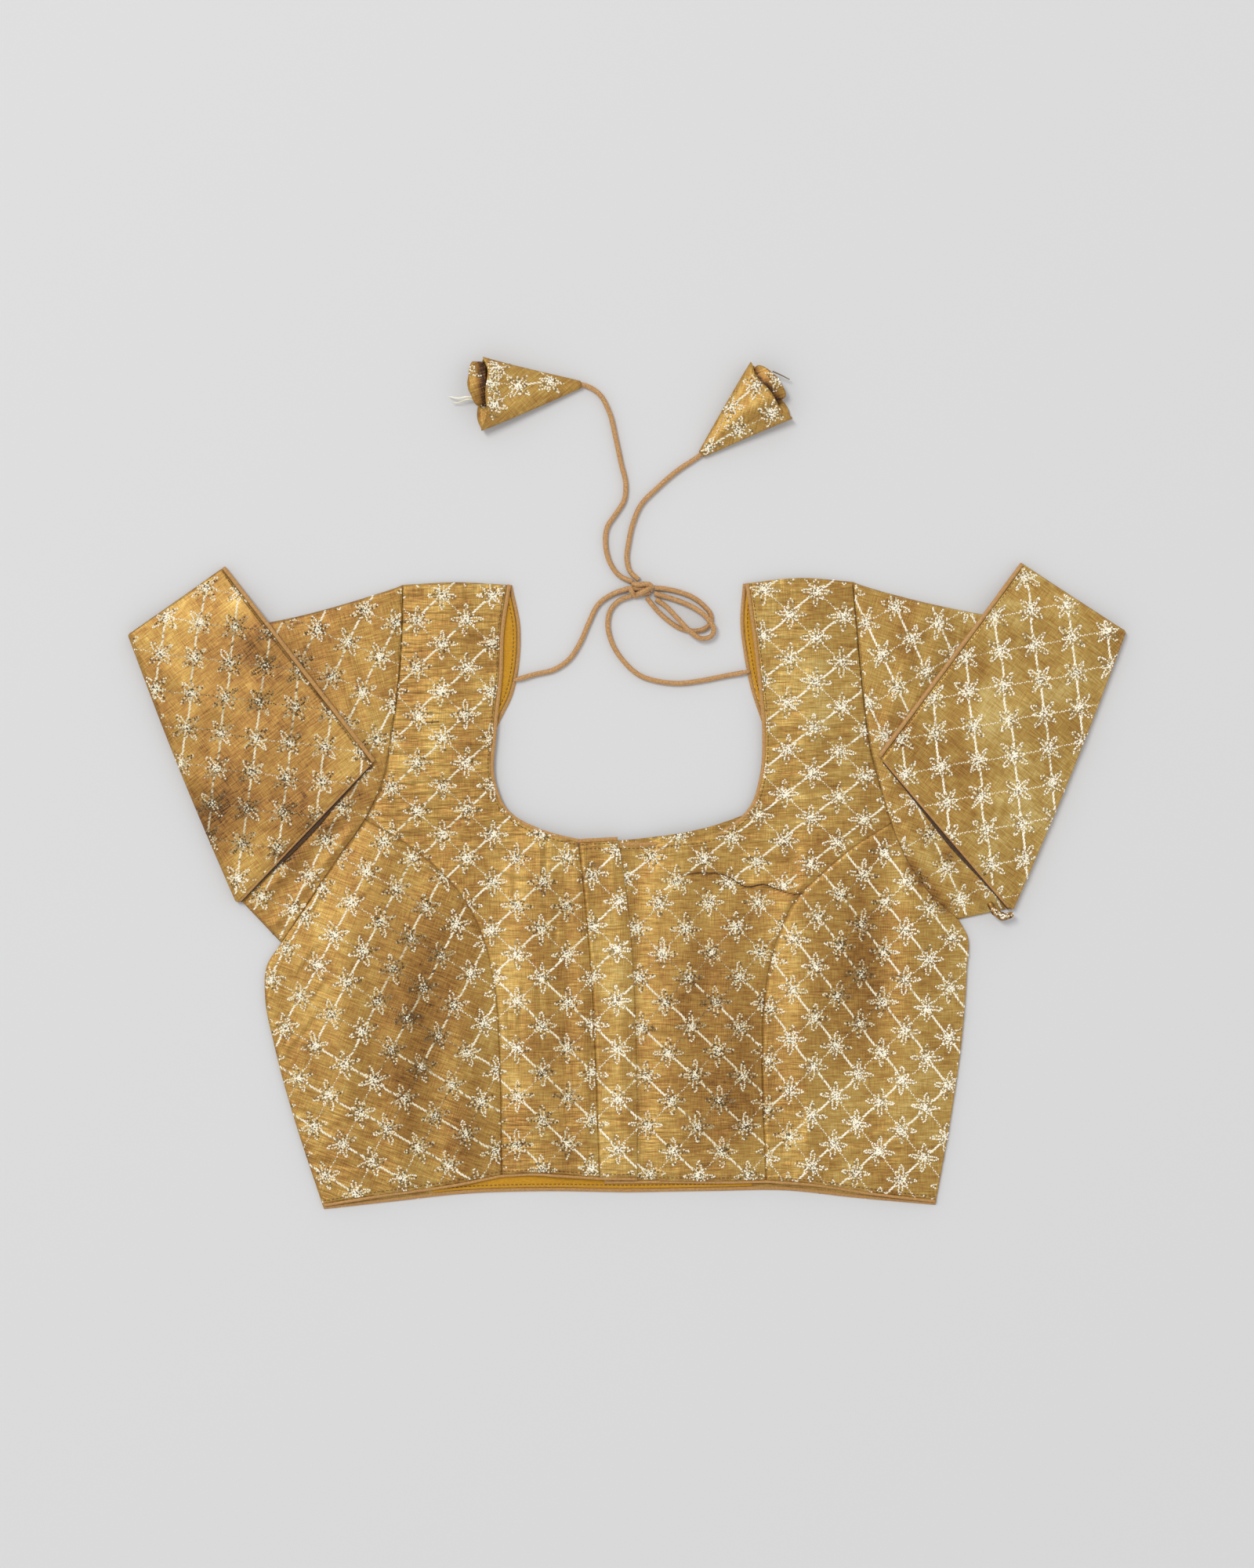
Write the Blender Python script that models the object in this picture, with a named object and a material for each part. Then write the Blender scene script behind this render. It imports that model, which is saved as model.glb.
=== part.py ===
"""A short square-necked blouse, laid flat with its front up and both sleeves folded over on top.

Every piece that is cut and sewn is a solid of its own. X runs across the blouse, +Y to its shoulders and
+Z up from the surface it lies on. "Right" and "left" are the wearer's, so the right side is at negative X.
Tables and sizes are in millimetres. The functions that make objects turn them into metres.
"""

import math

import bmesh
import bpy
import numpy as np

METRES_PER_MM = 0.001

# Driving sizes
WALL = 1.2  # lined cloth
SEAM_GAP = 0.3  # between two pieces that are sewn together
FRONT_RISE = 1.5  # how much higher the front lies inside its edges
SIDE_EASE = 16.0  # over which the front comes down to the side seams
SHOULDER_Y = 185.0
SHOULDER_EASE = 2.5  # over which the front comes down to the shoulder seam
LAP_RISE = 1.6  # the right front's edge lies on the left front
LAP_START, LAP_END = -75.0, -36.0
UNDERLAP = (3.0, -2.5)  # from the placket's seam to the left front's edge below it
PIPING = 2.8
LINING = 1.0
LINING_WIDTH = 16.0
CORD = 3.1
SLEEVE_HOLLOW = 0.3  # between a flat sleeve's two layers
FOLD_SPACE = 0.5  # inner radius where a sleeve is folded over
SLEEVE_TOP_DIP = 6.0
SLEEVE_LOFT = 1.3
FLAP_LOFT = 0.8
FLAP_DROOP = 2.4  # the flap's free corner sinks to the surface past the sleeve's edge
DROOP_LENGTH = 22.0
RING_EDGE = 1.7  # a sleeve's inner surface ends this far inside its flat edge
RING_PROFILE = (0.0, 0.8, 1.0, 1.0, 1.0, 1.0, 1.0, 1.0, 1.0, 1.0, 0.8, 0.0)
PIPING_SECTION = ((0.0, 0.5), (0.3, 1.0), (1.0, 1.0), (1.0, 0.0), (0.3, 0.0))  # across, up
LINING_NECK_SPAN = (0.025, 0.34)  # of the back neckline's half, where the lining shows
LINING_HEM_SPAN = (0.18, 0.7)
REST_CLEARANCE = 0.02  # of rounded pieces above the surface
KNOT_SIZE = (14.6, 9.6, 6.6)
CONE_MOUTH_HEIGHT = 13.0
CONE_TIP = 2.3
CONE_LIP_TURN = 0.8

HALF_GAP = SEAM_GAP / 2
BOUND = PIPING + SEAM_GAP  # cloth stops this far inside an edge that has piping
LINING_BOTTOM = WALL + SEAM_GAP
FRONT_BOTTOM = WALL + SEAM_GAP

# Outlines, from the shoulder downwards. Columns: right x, right y, left x, left y
ARMHOLE_UPPER = (
    (-137.6, 184.0, 138.4, 185.9),
    (-138.2, 156.0, 141.0, 156.0),
    (-140.3, 124.4, 144.3, 121.0),
    (-144.1, 95.6, 148.4, 88.0),
    (-151.1, 59.8, 155.5, 60.0),
    (-160.5, 40.0, 162.0, 38.0),
)
ARMHOLE_LOWER = (
    (-160.5, 40.0, 162.0, 38.0),
    (-178.7, 14.5, 173.5, 11.5),
    (-196.5, -12.0, 188.5, -8.5),
    (-212.0, -35.4, 203.0, -21.0),
)
SIDE_SEAM = (
    (-212.0, -35.4, 203.0, -21.0),
    (-221.0, -50.0, 208.5, -31.0),
    (-222.0, -68.0, 208.2, -52.0),
    (-216.2, -98.8, 205.0, -95.0),
    (-203.6, -144.9, 198.0, -145.0),
    (-186.0, -197.0, 189.0, -194.5),
)
PRINCESS_SEAM = (
    (-160.5, 40.0, 162.0, 38.0),
    (-142.2, 29.9, 141.7, 25.5),
    (-121.0, 14.5, 120.0, 8.0),
    (-101.9, -5.2, 102.6, -9.5),
    (-89.0, -30.0, 92.5, -31.0),
    (-80.7, -65.7, 84.5, -65.0),
    (-78.0, -110.0, 82.8, -105.0),
    (-76.9, -178.9, 85.2, -182.3),
)
SHOULDER = (
    (-137.6, 184.0, 138.4, 185.9),
    (-105.0, 185.6, 105.0, 188.2),
    (-71.1, 183.9, 72.3, 184.8),
)
FRONT_NECK = (
    (-71.1, 183.9, 72.3, 184.8),
    (-75.2, 157.0, 77.5, 148.0),
    (-76.4, 127.8, 80.5, 121.0),
    (-79.8, 95.6, 82.7, 92.3),
    (-80.3, 62.0, 81.0, 66.0),
    (-74.0, 47.5, 75.5, 49.0),
    (-53.4, 34.7, 58.0, 33.5),
    (-41.0, 30.9, 26.3, 27.5),
)
BACK_NECK = (
    (-70.6, 184.0, 71.0, 184.8),
    (-65.6, 158.0, 69.5, 160.0),
    (-66.1, 137.9, 71.9, 140.0),
    (-70.5, 116.0, 76.0, 120.0),
    (-78.3, 99.7, 81.5, 103.0),
    (-86.0, 80.0, 88.0, 84.0),
    (-88.0, 52.0, 90.0, 56.0),
    (-76.0, 22.0, 78.0, 24.0),
    (-50.0, 4.0, 52.0, 5.0),
    (0.0, -3.0, 0.0, -3.0),
)
HEM_SIDE = (
    (-186.0, -197.0, 189.0, -194.5),
    (-149.9, -190.9, 150.0, -189.8),
    (-112.0, -185.6, 115.1, -184.4),
    (-76.9, -178.9, 85.2, -182.3),
)
HEM_CENTRE = (
    (-76.9, -178.9, 85.2, -182.3),
    (-55.8, -177.8, 52.7, -182.8),
    (-38.5, -178.9, 20.0, -182.5),
)
BACK_HEM = (
    (-186.0, -198.6, 189.0, -196.0),
    (-140.0, -193.5, 140.0, -191.6),
    (-101.9, -189.3, 95.9, -187.0),
    (-55.8, -187.6, 55.0, -187.4),
    (0.0, -188.3, 0.0, -188.3),
)
# The placket's seam and its free edge at the centre front. Columns: seam x, seam y, edge x, edge y
PLACKET = (
    (-29.9, 28.4, -5.9, 29.6),
    (-25.8, -12.0, -1.2, 0.0),
    (-21.8, -58.0, 2.8, -40.0),
    (-18.8, -128.0, 5.4, -105.0),
    (-16.9, -180.3, 6.1, -180.6),
)
# Each sleeve's flap, as it shows once folded over. The low corners are at the underarm seam.
# Columns: name, x, y
FLAP_RIGHT = (
    ("fold_low", -239.5, -11.0),
    ("fold_top", -306.2, 153.8),
    ("cuff_low", -153.8, 76.4),
    ("cuff_top", -246.4, 195.6),
)
FLAP_LEFT = (
    ("fold_low", 236.5, -15.5),
    ("fold_top", 306.0, 155.7),
    ("cuff_low", 153.0, 79.3),
    ("cuff_top", 241.3, 197.9),
)
# The largest folds: soft ridges from one point to another. Columns: x0, y0, x1, y1, half width, height
FRONT_FOLDS = (
    (-112.0, -12.0, -116.0, -70.0, 36.0, 2.0),
    (116.0, -14.0, 114.0, -70.0, 36.0, 2.0),
    (-98.0, -80.0, -103.0, -178.0, 12.0, 1.3),
    (-178.0, -30.0, -166.0, -180.0, 14.0, 1.2),
    (-139.0, -90.0, -136.0, -178.0, 11.0, 0.8),
    (-56.0, 12.0, -58.0, -120.0, 13.0, 1.0),
    (-64.0, -142.0, -44.0, -170.0, 10.0, 1.1),
    (34.0, 6.0, 30.0, -150.0, 14.0, 1.0),
    (62.0, -20.0, 64.0, -172.0, 12.0, 1.3),
    (106.0, -80.0, 109.0, -176.0, 12.0, 1.1),
    (176.0, -20.0, 168.0, -170.0, 15.0, 1.4),
    (-108.0, 160.0, -110.0, 70.0, 18.0, 0.9),
    (110.0, 160.0, 112.0, 70.0, 18.0, 0.9),
)
SLEEVE_FOLDS = (
    (-232.0, 6.0, -188.0, 58.0, 9.0, 0.7),
    (-262.0, 60.0, -214.0, 96.0, 11.0, 0.6),
    (-226.0, 150.0, -176.0, 158.0, 10.0, 0.6),
    (228.0, 4.0, 190.0, 56.0, 9.0, 0.7),
    (258.0, 62.0, 214.0, 98.0, 11.0, 0.6),
    (224.0, 152.0, 176.0, 160.0, 10.0, 0.6),
)
CORD_Z = CORD / 2 + REST_CLEARANCE
# Each cord's route. Columns: x, y, how far its centre is lifted where it crosses another
TIE_RIGHT = (
    (-66.9, 126.2, 0.0),
    (-56.5, 129.2, 0.0),
    (-44.8, 132.1, 0.0),
    (-36.0, 138.0, 0.0),
    (-28.6, 149.0, 0.0),
    (-23.5, 160.8, 0.0),
    (-17.3, 172.5, 0.0),
    (-8.5, 178.6, 0.0),
    (1.0, 181.9, 0.6),
)
TIE_LEFT = (
    (72.4, 130.5, 0.0),
    (61.0, 128.4, 0.0),
    (46.3, 125.5, 0.0),
    (31.6, 123.7, 0.0),
    (19.9, 124.8, 0.0),
    (8.1, 128.4, 0.0),
    (-2.2, 137.3, 0.0),
    (-9.5, 149.0, 0.0),
    (-11.9, 160.8, 0.0),
    (-10.0, 169.0, 0.0),
    (-5.2, 174.2, 0.0),
    (2.6, 177.4, 0.6),
)
LOOP_UPPER = (
    (16.7, 182.3, 0.6),
    (23.4, 181.6, 0.0),
    (32.3, 179.6, 0.0),
    (40.3, 176.4, 0.0),
    (47.0, 171.3, 0.0),
    (51.2, 165.8, 0.0),
    (51.3, 161.0, 0.0),
    (48.6, 157.8, 0.0),
    (44.0, 156.0, 0.0),
    (38.5, 155.9, 0.0),
    (32.3, 157.6, 0.0),
    (25.0, 162.3, 0.0),
    (18.4, 168.4, 0.0),
    (11.9, 176.2, 0.3),
)
LOOP_LOWER = (
    (16.6, 178.8, 0.6),
    (23.6, 176.8, 0.4),
    (32.3, 173.9, 0.4),
    (40.3, 170.3, 1.4),
    (46.2, 166.2, 3.4),
    (50.6, 161.6, 3.6),
    (52.9, 157.6, 3.2),
    (52.3, 153.4, 2.6),
    (48.6, 151.2, 2.6),
    (44.2, 151.4, 3.2),
    (39.5, 154.4, 3.6),
    (34.6, 159.4, 3.2),
    (29.6, 164.8, 1.4),
    (23.4, 171.2, 0.2),
    (17.6, 175.2, 0.6),
)
END_RIGHT = (
    (3.2, 186.0, 0.5),
    (-4.6, 189.6, 0.0),
    (-10.4, 197.4, 0.0),
    (-13.2, 208.0, 0.0),
    (-12.4, 219.0, 0.0),
    (-6.6, 228.0, 0.0),
    (-1.8, 236.0, 0.0),
    (-0.9, 246.0, 0.0),
    (-3.6, 258.0, 0.0),
    (-7.0, 274.0, 0.0),
    (-11.0, 290.0, 0.0),
    (-17.5, 301.5, 0.0),
    (-26.8, 306.6, 0.0),
)
END_LEFT = (
    (7.0, 187.2, 0.5),
    (1.6, 192.6, 0.0),
    (-0.1, 199.0, 0.0),
    (0.9, 210.0, 0.0),
    (3.6, 222.0, 0.0),
    (8.4, 233.0, 0.0),
    (18.0, 243.0, 0.0),
    (31.0, 254.2, 0.0),
    (44.8, 263.6, 0.0),
)
KNOT_CENTRE = (9.0, 181.4)
# Each tassel: a cone rolled from cloth. Columns: name, apex x, apex y, mouth x, mouth y, mouth width, lip
CONES = (
    ("tassel_right", -28.4, 306.8, -88.6, 300.6, 45.0, 4.0),
    ("tassel_left", 45.4, 264.0, 88.2, 302.6, 43.0, 3.0),
)

# How finely the meshes follow these shapes
STRAP_ROWS = (0.0, 0.03, 0.1, 0.2, 0.3, 0.4, 0.5, 0.6, 0.7, 0.78, 0.86, 0.93, 1.0)
PANEL_ROWS = np.linspace(0.0, 1.0, 13)
PANEL_COLUMNS = 9
SLEEVE_STARTS = (0.0, 0.12, 0.28, 0.46, 0.64, 0.82)
FOLD_STEPS = 6
FLAP_RINGS = (0.2, 0.45, 0.7, 0.88, 1.0)
RING_SAMPLES = (0.0, 0.012, 0.06, 0.17, 0.3, 0.43, 0.57, 0.7, 0.83, 0.94, 0.988, 1.0)
CORD_POINT_STEP = 2.6  # in cord diameters
CONE_RINGS = (0.0, 0.25, 0.5, 0.75, 1.0)
CONE_SIDES = 16
KNOT_SIDES = 16
PLACKET_COLUMNS = 4
BACK_COLUMNS = 4
BACK_ARMHOLE, BACK_SIDE, BACK_HEM_STEPS = 20, 7, 6
ENDS = (0.0, 1.0)
ARMHOLE_SAMPLES = 41
LINING_SAMPLES, LINING_COLUMNS = 11, 3
MOST_STEPS = 200
CURVE_STEPS = 16
SHARP_CORNER = 0.3  # sine of the turn past which a border's corner is mitred
SHARP_EDGE = math.radians(40)

# Colours, roughness and metallic value of each material
MATERIALS = {
    "tissue": ((0.52, 0.28, 0.05, 1.0), 0.38, 0.6),
    "piping": ((0.47, 0.22, 0.05, 1.0), 0.55, 0.1),
    "lining": ((0.60, 0.35, 0.02, 1.0), 0.6, 0.0),
    "cord": ((0.56, 0.28, 0.08, 1.0), 0.55, 0.0),
}


def right(table):
    return [row[:2] for row in table]


def left(table):
    return [row[2:4] for row in table]


def fine_curve(points):
    """Closely spaced points on a smooth curve through the given ones, and the length run up to each."""
    points = np.array(points, float)
    chords = np.linalg.norm(np.diff(points, axis=0), axis=1)
    slopes = np.gradient(points, np.concatenate([[0.0], np.cumsum(chords)]), axis=0)
    fine = []
    for i, chord in enumerate(chords):
        for t in np.arange(CURVE_STEPS) / CURVE_STEPS:
            fine.append(
                (2 * t**3 - 3 * t**2 + 1) * points[i]
                + (t**3 - 2 * t**2 + t) * chord * slopes[i]
                + (3 * t**2 - 2 * t**3) * points[i + 1]
                + (t**3 - t**2) * chord * slopes[i + 1]
            )
    fine = np.array(fine + [points[-1]])
    return fine, np.concatenate([[0.0], np.cumsum(np.linalg.norm(np.diff(fine, axis=0), axis=1))])


def smooth_curve(points, fractions):
    """Points at these fractions of the length of a smooth curve through the given points."""
    fine, run = fine_curve(points)
    wanted = np.asarray(fractions) * run[-1]
    return np.stack([np.interp(wanted, run, fine[:, k]) for k in range(fine.shape[1])], axis=1)


def fraction_at(points, index):
    """The fraction of a smooth curve's length at one of its own points."""
    run = fine_curve(points)[1]
    return run[CURVE_STEPS * index] / run[-1]


def joined(*curves):
    """One run of points from curves that meet end to end."""
    return np.concatenate([curves[0]] + [curve[1:] for curve in curves[1:]])


def smoothstep(value):
    t = np.clip(value, 0.0, 1.0)
    return t * t * (3 - 2 * t)


def fold_height(x, y, folds):
    """The summed height of soft ridges at a point."""
    total = 0.0
    for x0, y0, x1, y1, width, height in folds:
        along = np.array([x1 - x0, y1 - y0])
        t = np.clip(((x - x0) * along[0] + (y - y0) * along[1]) / along.dot(along), 0, 1)
        distance = np.hypot(x - x0 - t * along[0], y - y0 - t * along[1])
        total = total + height * np.exp(-((distance / width) ** 2))
    return total


def outer_x(y, side):
    """How far out the body's edge is at this height, by its armhole and side seam."""
    outline = joined(side(ARMHOLE_UPPER), side(ARMHOLE_LOWER), side(SIDE_SEAM))
    order = np.argsort(outline[:, 1])
    return np.interp(y, outline[order, 1], np.abs(outline[order, 0]))


def front_bottom(x, y):
    """The underside of the front, which lies on the back at the seams and rises between them."""
    inside = np.maximum(0.0, outer_x(y, right if x < 0 else left) - abs(x))
    below_shoulder = abs(SHOULDER_Y - y)
    eased = (1 - math.exp(-inside / SIDE_EASE)) * (1 - math.exp(-below_shoulder / SHOULDER_EASE))
    return FRONT_BOTTOM + eased * (FRONT_RISE + fold_height(x, y, FRONT_FOLDS))


def right_front_bottom(x, y):
    return front_bottom(x, y) + LAP_RISE * smoothstep((x - LAP_START) / (LAP_END - LAP_START))


def patch(top, outer, bottom, inner):
    """A grid of plan points between four edges. Outer and inner run from the top to the bottom."""
    rows, columns = len(outer), len(top)
    down = np.linspace(0, 1, rows)[:, None, None]
    across = np.linspace(0, 1, columns)[None, :, None]
    ruled = (1 - across) * outer[:, None] + across * inner[:, None]
    top_off = top - (1 - across[0]) * outer[0] - across[0] * inner[0]
    bottom_off = bottom - (1 - across[0]) * outer[-1] - across[0] * inner[-1]
    fade = (1 - down) ** 4 * top_off[None] + down**4 * bottom_off[None]
    return ruled + fade


def rim_steps(rows, columns):
    """The border points of a grid, once round: row, column, edge, and the step of that edge that follows."""
    rim = [(0, j, "top", j) for j in range(columns - 1)]
    rim += [(i, columns - 1, "inner", i) for i in range(rows - 1)]
    rim += [(rows - 1, j, "bottom", j - 1) for j in range(columns - 1, 0, -1)]
    rim += [(i, 0, "outer", i - 1) for i in range(rows - 1, 0, -1)]
    return rim


def rim_turn(grid):
    """1 where a grid's border runs anticlockwise seen from above, and -1 where it runs clockwise."""
    loop = np.array([grid[i, j] for i, j, _, _ in rim_steps(*grid.shape[:2])])
    return math.copysign(1.0, np.sum(loop[:, 0] * (np.roll(loop[:, 1], -1) - np.roll(loop[:, 1], 1))))


def trimmed(grid, trims):
    """Moves the border of a plan grid inwards, by the trim of each step of its four edges."""
    rim = rim_steps(*grid.shape[:2])
    loop = np.array([grid[i, j] for i, j, _, _ in rim])
    amounts = [np.broadcast_to(trims[edge], MOST_STEPS)[step] for _, _, edge, step in rim]
    turn = rim_turn(grid)
    result = grid.copy()
    for k, (i, j, _, _) in enumerate(rim):
        before, after = loop[k] - loop[k - 1], loop[(k + 1) % len(loop)] - loop[k]
        first, second = (turn * np.array([-d[1], d[0]]) / np.linalg.norm(d) for d in (before, after))
        if abs(first[0] * second[1] - first[1] * second[0]) > SHARP_CORNER:
            move = np.linalg.solve(np.array([first, second]), np.array([amounts[k - 1], amounts[k]]))
        else:
            move = (first + second) / 2 * max(amounts[k - 1], amounts[k])
        result[i, j] += move
    return result


def material(name):
    found = bpy.data.materials.get(name)
    if found:
        return found
    colour, roughness, metallic = MATERIALS[name]
    made = bpy.data.materials.new(name)
    made.use_nodes = True
    shader = made.node_tree.nodes["Principled BSDF"]
    shader.inputs["Base Color"].default_value = colour
    shader.inputs["Roughness"].default_value = roughness
    shader.inputs["Metallic"].default_value = metallic
    made.diffuse_color = colour
    return made


def solid(name, points, faces, material_name):
    """A mesh object from points in millimetres."""
    mesh = bpy.data.meshes.new(name)
    mesh.from_pydata([tuple(float(v) * METRES_PER_MM for v in p) for p in points], [], faces)
    mesh.validate()
    made = bpy.data.objects.new(name, mesh)
    bpy.context.collection.objects.link(made)
    mesh.materials.append(material(material_name))
    mesh.shade_smooth()
    mesh.set_sharp_from_angle(angle=SHARP_EDGE)
    return made


def cloth_wall(name, grid, bottom, wall, material_name):
    """A cloth wall over a plan grid: its underside is at bottom(x, y) and its top is a wall above."""
    rows, columns = grid.shape[:2]
    flat = grid.reshape(-1, 2)
    low = [(x, y, bottom(x, y)) for x, y in flat]
    high = [(x, y, z + wall) for x, y, z in low]
    count = len(flat)
    faces = []
    for i in range(rows - 1):
        for j in range(columns - 1):
            a, b = i * columns + j, i * columns + j + 1
            c, d = b + columns, a + columns
            faces.append((a, b, c, d))
            faces.append((count + d, count + c, count + b, count + a))
    rim = [i * columns + j for i, j, _, _ in rim_steps(rows, columns)]
    for a, b in zip(rim, rim[1:] + rim[:1]):
        faces.append((b, a, count + a, count + b))
    if rim_turn(grid) > 0:
        faces = [face[::-1] for face in faces]
    return solid(name, low + high, faces, material_name)


def panel(name, edges, trims, bottom, wall=WALL, material_name="tissue"):
    """A cloth panel between its top, outer, bottom and inner edges, each cut back by its trim."""
    grid = trimmed(patch(*edges), dict(zip(("top", "outer", "bottom", "inner"), trims)))
    return cloth_wall(name, grid, bottom, wall, material_name)


def placket_edge(first, fractions):
    """The placket's seam, from column 0, or its free edge, from column 2."""
    return smooth_curve([row[first : first + 2] for row in PLACKET], fractions)


def centre_edge(side, fractions):
    """Where a centre panel ends: at the placket's seam, or on the left a little further in, below it."""
    return placket_edge(0, fractions) + np.array(UNDERLAP if side is left else (0.0, 0.0))


def by_step(*parts):
    """A list of trims along an edge, from (how many steps, trim) pairs."""
    steps = [trim for count, trim in parts for _ in range(count)]
    return np.array(steps + [steps[-1]] * (MOST_STEPS - len(steps)))


def neck_edge(side):
    """The front neckline, from the shoulder to the end of the centre panel."""
    return smooth_curve(side(FRONT_NECK) + [tuple(centre_edge(side, ENDS)[0])], STRAP_ROWS)


def hem_edges(side):
    """The front hem in two runs: below the side panel and below the centre panel."""
    across = np.linspace(0, 1, PANEL_COLUMNS)
    centre = smooth_curve(side(HEM_CENTRE) + [tuple(centre_edge(side, ENDS)[1])], across)
    return smooth_curve(side(HEM_SIDE), across), centre


def placket_ends():
    """The placket's top and bottom edges, from its seam to its free edge."""
    seam, edge = placket_edge(0, ENDS), placket_edge(2, ENDS)
    return [np.linspace(seam[k], edge[k], PLACKET_COLUMNS) for k in (0, -1)]


def armhole_rows(side):
    return side(ARMHOLE_UPPER) + side(ARMHOLE_LOWER)[1:]


def armhole_edges(side):
    """The armhole in two runs: beside the strap, and from the princess seam to the underarm."""
    rows = armhole_rows(side)
    split = fraction_at(rows, len(ARMHOLE_UPPER) - 1)
    lower = split + (1 - split) * np.linspace(0, 1, PANEL_COLUMNS)
    return smooth_curve(rows, np.array(STRAP_ROWS) * split), smooth_curve(rows, lower)


def build_front():
    across = np.linspace(0, 1, PANEL_COLUMNS)
    strap_steps = len(STRAP_ROWS) - 1
    panel_steps = len(PANEL_ROWS) - 1
    for side, word, bottom in ((right, "right", right_front_bottom), (left, "left", front_bottom)):
        centre = centre_edge(side, PANEL_ROWS)
        hem_side, hem_centre = hem_edges(side)
        strap_armhole, side_armhole = armhole_edges(side)
        princess = smooth_curve(side(PRINCESS_SEAM), PANEL_ROWS)
        panel(
            f"front_centre_{word}",
            (
                smooth_curve(side(SHOULDER), across),
                joined(strap_armhole, princess),
                hem_centre,
                joined(neck_edge(side), centre),
            ),
            (HALF_GAP, HALF_GAP, BOUND, by_step((strap_steps, BOUND), (panel_steps, HALF_GAP))),
            bottom,
        )
        seam = smooth_curve(side(SIDE_SEAM), PANEL_ROWS)
        trims = (HALF_GAP, HALF_GAP, BOUND, HALF_GAP)
        panel(f"front_side_{word}", (side_armhole[::-1], seam, hem_side, princess), trims, bottom)
    seam, edge = placket_edge(0, PANEL_ROWS), placket_edge(2, PANEL_ROWS)
    ends = placket_ends()
    panel("placket", (ends[0], seam, ends[1], edge), (BOUND, HALF_GAP, BOUND, 0.0), right_front_bottom)


def flat_back(x, y):
    return 0.0


def back_hem_edge():
    halves = [smooth_curve(side(BACK_HEM), np.linspace(0, 1, BACK_HEM_STEPS + 1)) for side in (right, left)]
    return joined(halves[0], halves[1][::-1])


def back_neck_edge():
    steps = BACK_ARMHOLE + BACK_SIDE + BACK_HEM_STEPS
    halves = [smooth_curve(side(BACK_NECK), np.linspace(0, 1, steps + 1)) for side in (right, left)]
    return joined(halves[0], halves[1][::-1])


def back_side_edge(side):
    """The back's armhole and side seam, from the shoulder to the hem."""
    armhole = smooth_curve(armhole_rows(side), np.linspace(0, 1, BACK_ARMHOLE + 1))
    seam = smooth_curve(side(SIDE_SEAM)[:-1] + side(BACK_HEM)[:1], np.linspace(0, 1, BACK_SIDE + 1))
    return joined(armhole, seam)


def build_back():
    outer = joined(back_side_edge(right), back_hem_edge(), back_side_edge(left)[::-1])
    inner = back_neck_edge()
    shoulders = [np.linspace(outer[k], inner[k], BACK_COLUMNS) for k in (0, -1)]
    sewn = BACK_ARMHOLE + BACK_SIDE
    trims = by_step((sewn, HALF_GAP), (2 * BACK_HEM_STEPS, BOUND), (sewn, HALF_GAP))
    panel("back", (shoulders[0], outer, shoulders[1], inner), (0.0, trims, 0.0, BOUND), flat_back)


def plan_normals(path):
    """Unit normals on the left of a plan path."""
    along = np.gradient(path, axis=0)
    along /= np.linalg.norm(along, axis=1)[:, None]
    return np.stack([-along[:, 1], along[:, 0]], axis=1)


def on_back(x, y):
    return LINING_BOTTOM


def strip_on_back(name, path, cloth_side):
    """A strip of lining that lies on the back, beside its piping."""
    normals = plan_normals(path) * cloth_side
    outer, inner = path + normals * BOUND, path + normals * (BOUND + LINING_WIDTH)
    ends = [np.linspace(outer[k], inner[k], LINING_COLUMNS) for k in (0, -1)]
    panel(name, (ends[0], outer, ends[1], inner), (0.0, 0.0, 0.0, 0.0), on_back, LINING, "lining")


def build_linings():
    for side, word, cloth_side in ((right, "right", -1), (left, "left", 1)):
        path = smooth_curve(side(BACK_NECK), np.linspace(*LINING_NECK_SPAN, LINING_SAMPLES))
        strip_on_back(f"lining_neck_{word}", path, cloth_side)
    both_hems = right(BACK_HEM) + left(BACK_HEM)[-2::-1]
    hem = smooth_curve(both_hems, np.linspace(*LINING_HEM_SPAN, LINING_SAMPLES))
    strip_on_back("lining_hem", hem, 1)


def rings_solid(name, rings, material_name, closed_ends=True):
    """A solid from rings of equal count: one closed bar, or a band whose last ring meets its first."""
    count = len(rings[0])
    points = [tuple(p) for ring in rings for p in ring]
    faces = []
    pairs = [(k, k + 1) for k in range(len(rings) - 1)]
    if not closed_ends:
        pairs.append((len(rings) - 1, 0))
    for first, second in pairs:
        for j in range(count):
            after = (j + 1) % count
            faces.append(
                (first * count + j, first * count + after, second * count + after, second * count + j)
            )
    if closed_ends:
        faces.append(tuple(range(count))[::-1])
        faces.append(tuple((len(rings) - 1) * count + j for j in range(count)))
    made = solid(name, points, faces, material_name)
    face_outwards(made)
    return made


def face_outwards(made):
    shape = bmesh.new()
    shape.from_mesh(made.data)
    bmesh.ops.recalc_face_normals(shape, faces=shape.faces)
    if shape.calc_volume(signed=True) < 0:
        bmesh.ops.reverse_faces(shape, faces=shape.faces)
    shape.to_mesh(made.data)
    shape.free()


def piping(name, path, cloth_side, bottom):
    """A bound edge: a bar as thick as the cloth, rounded outside, along a panel's finished edge."""
    normals = plan_normals(path) * cloth_side
    rings = []
    for point, inward in zip(path, normals):
        z = bottom(*(point + inward * BOUND))
        rings.append(
            [
                (*(point + inward * PIPING * across), z + WALL * up)
                for across, up in PIPING_SECTION
            ]
        )
    return rings_solid(name, rings, "piping")


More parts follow.
